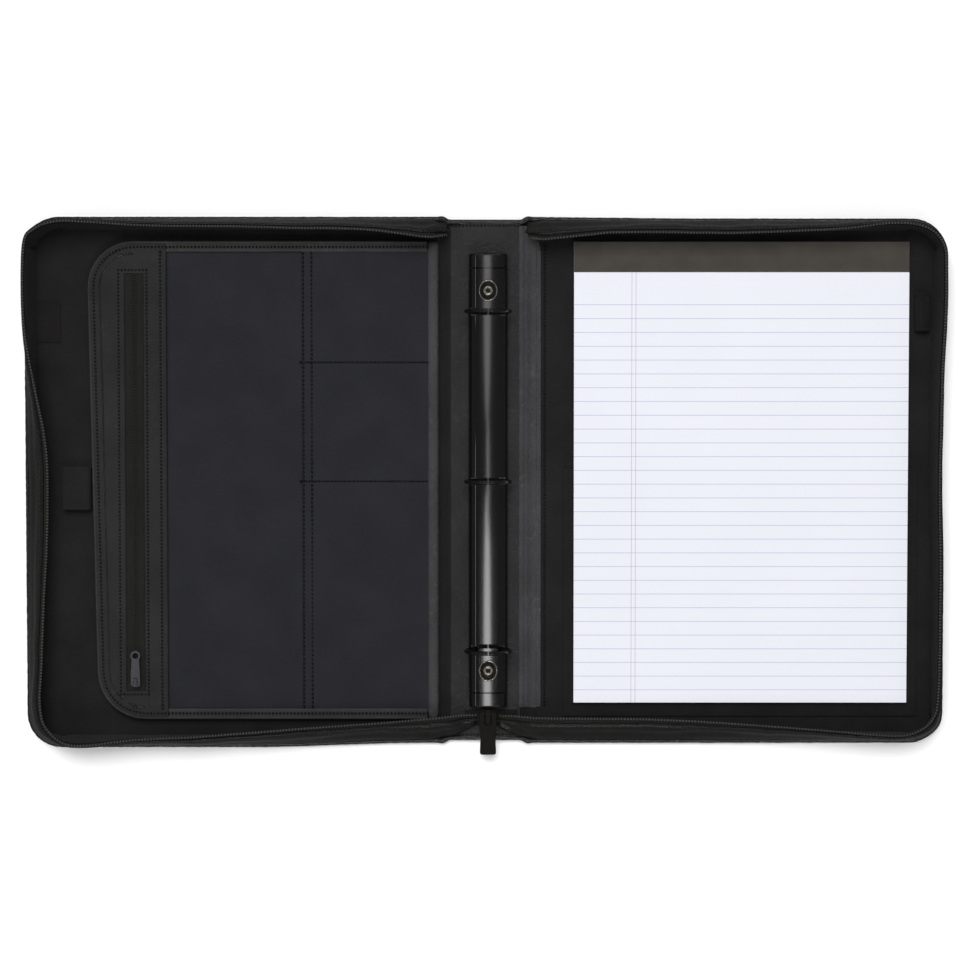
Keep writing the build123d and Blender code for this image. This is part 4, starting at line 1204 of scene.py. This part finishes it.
pocket_edges = (INNER_Y[1] + 1.0, POCKET_SEAMS[0], POCKET_SEAMS[1], INNER_Y[0] - 1.0)
for index, pocket in enumerate(("top", "middle", "bottom")):
    high_y, low_y = pocket_edges[index] - 0.3, pocket_edges[index + 1] + 0.3
    xs = steps_with_edges(POCKET_LEFT, PIPING_LEFT + 2.0, 0.5, 24)
    ys = steps_with_edges(low_y, high_y, 0.5, int((high_y - low_y) / 3.6))

    def pocket_held(x, y, low_y=low_y, high_y=high_y):
        return 1.0 if min(y - low_y, high_y - y, PIPING_LEFT + 2.0 - x) < 2.0 else 0.0

    cloth = settled_panel(
        f"card_pocket_cloth_{pocket}", xs, ys, 7.15, 7.6, NYLON, pocket_held, 0.01, 0.4, index
    )
    place(cloth, "front_cover", "nylon", f"card_pocket_{pocket}")
seam_top, seam_bottom = INNER_Y[1] - 1.0, INNER_Y[0] + 1.0
for label, x in (("left", POCKET_LEFT + 0.6), ("right", POCKET_LEFT + 6.0)):
    path = [(x, seam_top, 7.75), (x, seam_bottom, 7.75)]
    stitch_line(f"pocket_hem_stitches_{label}", path, "front_cover", "nylon", pitch=2.8, length=2.0)
for label, y in zip(("upper", "lower"), POCKET_SEAMS):
    path = [(POCKET_LEFT - 1.0, y, 7.5), (PIPING_LEFT, y, 7.5)]
    stitch_line(
        f"pocket_seam_stitches_{label}", path, "front_cover", "nylon", pitch=2.8, length=2.0
    )


def border_relief(x, y):
    return 0.10 * ripple(x, y, size=12.0, seed=6.0) + 0.05 * ripple(x, y, size=4.0)


for label, y0, y1 in (("top", INNER_Y[1], ORG_TOP), ("bottom", ORG_BOTTOM, INNER_Y[0])):
    low, high = (BAND_RIGHT - 0.5, y0), (PIPING_LEFT + 0.5, y1)
    # Painted light: the borders take the lighter leather copy, which offsets the shade on them.
    border = block(
        f"organizer_border_leather_{label}", low, high, 4.85, 8.35, LEATHER_RIM_PAINTED_LIGHT, 1.2, 4.0,
        border_relief,
    )
    place(border, "front_cover", "cover_leather", f"organizer_border_{label}")


roll_path = resample([(-33.2, ORG_TOP - 0.3, 6.8), (-33.2, ORG_BOTTOM + 0.3, 6.8)], 2.0)


def roll_pucker(k):
    ends = min(k, len(roll_path) - 1 - k)
    return (1.0 if ends > 1 else 0.8 + 0.1 * ends) + 0.03 * ripple(roll_path[k][1], 0, size=9.0)


flat_roll = round_section(3.45, 16, 1.9)
# Painted highlight: the rolled edge takes the lighter copy of the leather in place of its
# highlight.
roll = sweep("organizer_rolled_edge", roll_path, flat_roll, LEATHER_PAINTED_LIGHT, scale=roll_pucker)
place(roll, "front_cover", "cover_leather", "organizer_piping")

# Painted highlight: the rim takes the lighter leather copy in place of its highlight.
rim = sweep("organizer_rim", organizer_outline(1.0, 8.0), round_section(1.05, 8), LEATHER_RIM_PAINTED_LIGHT)
place(rim, "front_cover", "cover_leather")
outline_seam = organizer_outline(4.0, 8.98)
stitch_line("organizer_outline_stitches", outline_seam, "front_cover")
groove_path = organizer_outline(GROOVE_INSET, 8.82, GROOVE_END)
groove = sweep("organizer_groove", groove_path, round_section(0.42, 8), PIPING)
place(groove, "front_cover", "cover_leather")
band_seam = [(-206.9, INNER_Y[1], 8.75), (-206.9, INNER_Y[0], 8.75)]
stitch_line("organizer_band_stitches", band_seam, "front_cover")
box_left, box_right, box_low, box_high = -233.6, -215.6, -135.4, 136.0
frame_path = [
    (box_left, box_low, 8.9),
    (box_left, box_high, 8.9),
    (box_right, box_high, 8.9),
    (box_right, box_low, 8.9),
    (box_left, box_low, 8.9),
]
for index in range(4):
    stitch_line(f"pocket_zip_stitches_{index}", frame_path[index : index + 2], "front_cover")

bag = block("pocket_bag_cloth", (-238.0, -139.0), (-208.0, 140.0), 6.5, 7.3, LINING, 0.4)
place(bag, "front_cover", "lining", "pocket_bag")
for label, low_x, high_x in (("left", WINDOW[0] - 3.0, WINDOW_X - 1.0),
                             ("right", WINDOW_X + 1.0, WINDOW[1] + 3.0)):
    half_tape = block(
        f"pocket_tape_{label}", (low_x, -136.0), (high_x, 136.6), 7.4, 7.88, TAPE, 0.2, 4.0
    )
    place(half_tape, "front_cover", "zip_tape", *(["pocket_zip_tape"] if label == "left" else []))
for label, x in (("left", WINDOW_X - 0.75), ("right", WINDOW_X + 0.75)):
    chain = beads(
        f"pocket_coil_{label}", [(x, -132.6, 8.15), (x, 133.2, 8.15)], COIL_DARK, 1.05, 1.7, 0.42,
        turn=ACROSS,
    )
    place(chain, "front_cover", "zip_teeth", *(["pocket_zip_coil"] if label == "left" else []))

# ---- pen loops and the elastic patch ----


def loop_strap(name, x, y, width, height, length, thickness, material, shoulder):
    """A strap arched over the lining with its two feet sewn down."""
    half = width / 2 - thickness / 2
    top = 4.05 + height - thickness / 2
    arch = [
        (-half, 4.2 + thickness / 2),
        (-half + 0.2, top - shoulder),
        (-half + shoulder, top - 0.15),
        (0.0, top),
        (half - shoulder, top - 0.15),
        (half - 0.2, top - shoulder),
        (half, 4.2 + thickness / 2),
    ]
    line = smooth_path(arch, 0.7)
    centre = np.array([(x + px, y, pz) for px, pz in line])
    half_length, half_thick, rim = length / 2, thickness / 2, 0.35
    left = [
        (-half_length, rim - half_thick),
        (-half_length, half_thick - rim),
        (-half_length + rim, half_thick),
        (-half_length + 2.2, half_thick),
        (-half_length + 2.6, half_thick - 0.25),  # the row of stitches presses the strap in
        (-half_length + 3.0, half_thick),
    ]
    right = [(-along, high) for along, high in reversed(left)]
    under = [(half_length - rim, -half_thick), (rim - half_length, -half_thick)]
    return sweep(name, centre, left + right + under, material)


front_loop = loop_strap("pen_strap_front", -261.2, -3.0, 18.4, 6.0, 27.6, 1.1, LINING, 2.2)
place(front_loop, "front_cover", "cover_leather", "pen_loop_front")
back_loop = loop_strap("pen_strap_back", 279.2, 109.5, 9.6, 6.6, 24.6, 1.1, ELASTIC, 3.0)
place(back_loop, "back_cover", "lining", "pen_loop_back")
patch = block("elastic_patch_cloth", (-288.8, 90.2), (-271.2, 115.8), 4.05, 5.0, ELASTIC, 0.5, 3.0)
place(patch, "front_cover", "lining", "elastic_patch")

# ---- writing pad ----

pocket_cloth = block(
    "pad_pocket_cloth", (50.2, -149.8), (276.8, 9.8), 4.72, 5.18, LINING, 0.2, 12.0
)
place(pocket_cloth, "back_cover", "lining", "pad_pocket")

# ---- finishes for the CAD parts that keep their own shape ----

CAD_FINISHES = {
    "ring_cover_plate": ENAMEL,
    "lever_top": ENAMEL,
    "lever_bottom": ENAMEL,
    "half_rings_left": ENAMEL,
    "half_rings_right": ENAMEL,
    "blade_left": STEEL,
    "blade_right": STEEL,
    "lever_pin_top": STEEL,
    "lever_pin_bottom": STEEL,
    "zip_slider": GUNMETAL,
    "pocket_zip_slider": NICKEL,
    "pad_backing": PAD_CARD,
    "paper_block": STACK,
    "pad_header": HEADER,
    "top_page": PAPER,
}
for node_name, finish in CAD_FINISHES.items():
    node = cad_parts[node_name]
    node.data.materials.clear()
    node.data.materials.append(finish)

# ---- studio ----

FLOOR_SIZE = 20.0
CAMERA_DISTANCE = 1.45
CAMERA_TILT = math.radians(2.3)  # towards the top of the pages
CAMERA_AIM = (0.0, -1.6 * MM, 0.0)
VIEW_WIDTH = 0.6237
WORLD_LIGHT = 0.15
LAMP_REACH = 3.0  # how many times further off than the directions below
LAMPS = (  # name, place, size, watts, whether gloss shows it
    ("key", (-0.20, 0.72, 1.55), (1.0, 0.8), 25.0, False),
    ("fill", (1.25, -0.2, 1.1), (0.8, 0.8), 3.0, False),
    ("side", (-1.25, -0.2, 1.1), (0.8, 0.8), 3.0, False),
    ("front", (0.2, -1.3, 1.1), (0.9, 0.5), 6.0, False),
    ("gloss_top", (0.0, 0.95, 1.10), (1.2, 0.12), 3.0, True),
    ("gloss_front", (0.0, -0.95, 1.10), (1.2, 0.10), 3.0, True),
    ("gloss_left_low", (-0.90, -0.214, 1.20), (0.40, 0.064), 0.45, True),
    ("gloss_left_high", (-0.90, 0.11, 1.20), (0.06, 0.05), 0.06, True),
)
STRIPS = (  # narrow ellipses over the camera, for the streaks on the ring mechanism's plate
    ("strip_top_long", (0.003, 0.204, 1.62), (0.009, 0.38), 0.026, True),
    ("strip_top_short", (0.003, 0.230, 1.62), (0.009, 0.24), 0.050, True),
    ("strip_thin", (0.004, -0.05, 1.62), (0.003, 0.18), 0.0064, True),
    ("strip_low", (0.003, -0.36, 1.62), (0.0095, 0.58), 0.130, True),
)


def spread_lamps():
    """The lamps moved out along their directions, so that their light falls evenly."""
    moved = []
    for name, place_at, size, power, glossy in LAMPS:
        place_at = tuple(LAMP_REACH * c for c in place_at)
        size = tuple(LAMP_REACH * c for c in size)
        moved.append((name, place_at, size, LAMP_REACH**2 * power, glossy))
    return moved + list(STRIPS)


def stage_and_camera():
    """Pale floor, soft studio light, and the straight-down camera of a product shot."""
    floor_shader = Shader("studio_floor", (0.93, 0.93, 0.94), 0.6)
    grain = floor_shader.noise(40.0)
    floor_shader.color(floor_shader.mix(grain, (0.92, 0.92, 0.93), (0.95, 0.95, 0.955)))
    half = 1000 * FLOOR_SIZE / 2
    corners = [(-half, -half, 0), (half, -half, 0), (half, half, 0), (-half, half, 0)]
    floor = build_mesh("floor", corners, [(0, 1, 2, 3)], floor_shader.material, smooth=False)
    floor.location.z = -0.0005
    floor.visible_glossy = False  # the white floor would whiten the glossy outer walls
    world = bpy.data.worlds.new("studio")
    world.use_nodes = True
    world.node_tree.nodes["Background"].inputs["Color"].default_value = (1, 1, 1, 1)
    world.node_tree.nodes["Background"].inputs["Strength"].default_value = WORLD_LIGHT
    bpy.context.scene.world = world
    for name, place_at, size, power, glossy in spread_lamps():
        lamp = bpy.data.lights.new(name, "AREA")
        overhead = name.startswith("strip")
        lamp.shape = "ELLIPSE" if overhead else "RECTANGLE"
        lamp.size, lamp.size_y = size
        lamp.energy = power
        holder = bpy.data.objects.new(name, lamp)
        bpy.context.scene.collection.objects.link(holder)
        holder.location = place_at
        holder.visible_glossy = glossy
        direction = Vector((0, 0, -1)) if overhead else -Vector(place_at)
        holder.rotation_euler = direction.to_track_quat("-Z", "Y").to_euler()
    camera = bpy.data.cameras.new("camera")
    camera.sensor_fit = "HORIZONTAL"
    camera.angle = 2 * math.atan(0.5 * VIEW_WIDTH / CAMERA_DISTANCE)
    camera.clip_end = 20
    holder = bpy.data.objects.new("camera", camera)
    bpy.context.scene.collection.objects.link(holder)
    away = Vector((0.0, math.sin(CAMERA_TILT), math.cos(CAMERA_TILT)))
    holder.location = Vector(CAMERA_AIM) + CAMERA_DISTANCE * away
    holder.rotation_euler = (-CAMERA_TILT, 0.0, 0.0)
    bpy.context.scene.camera = holder
    bpy.context.scene.view_settings.view_transform = "Standard"


stage_and_camera()
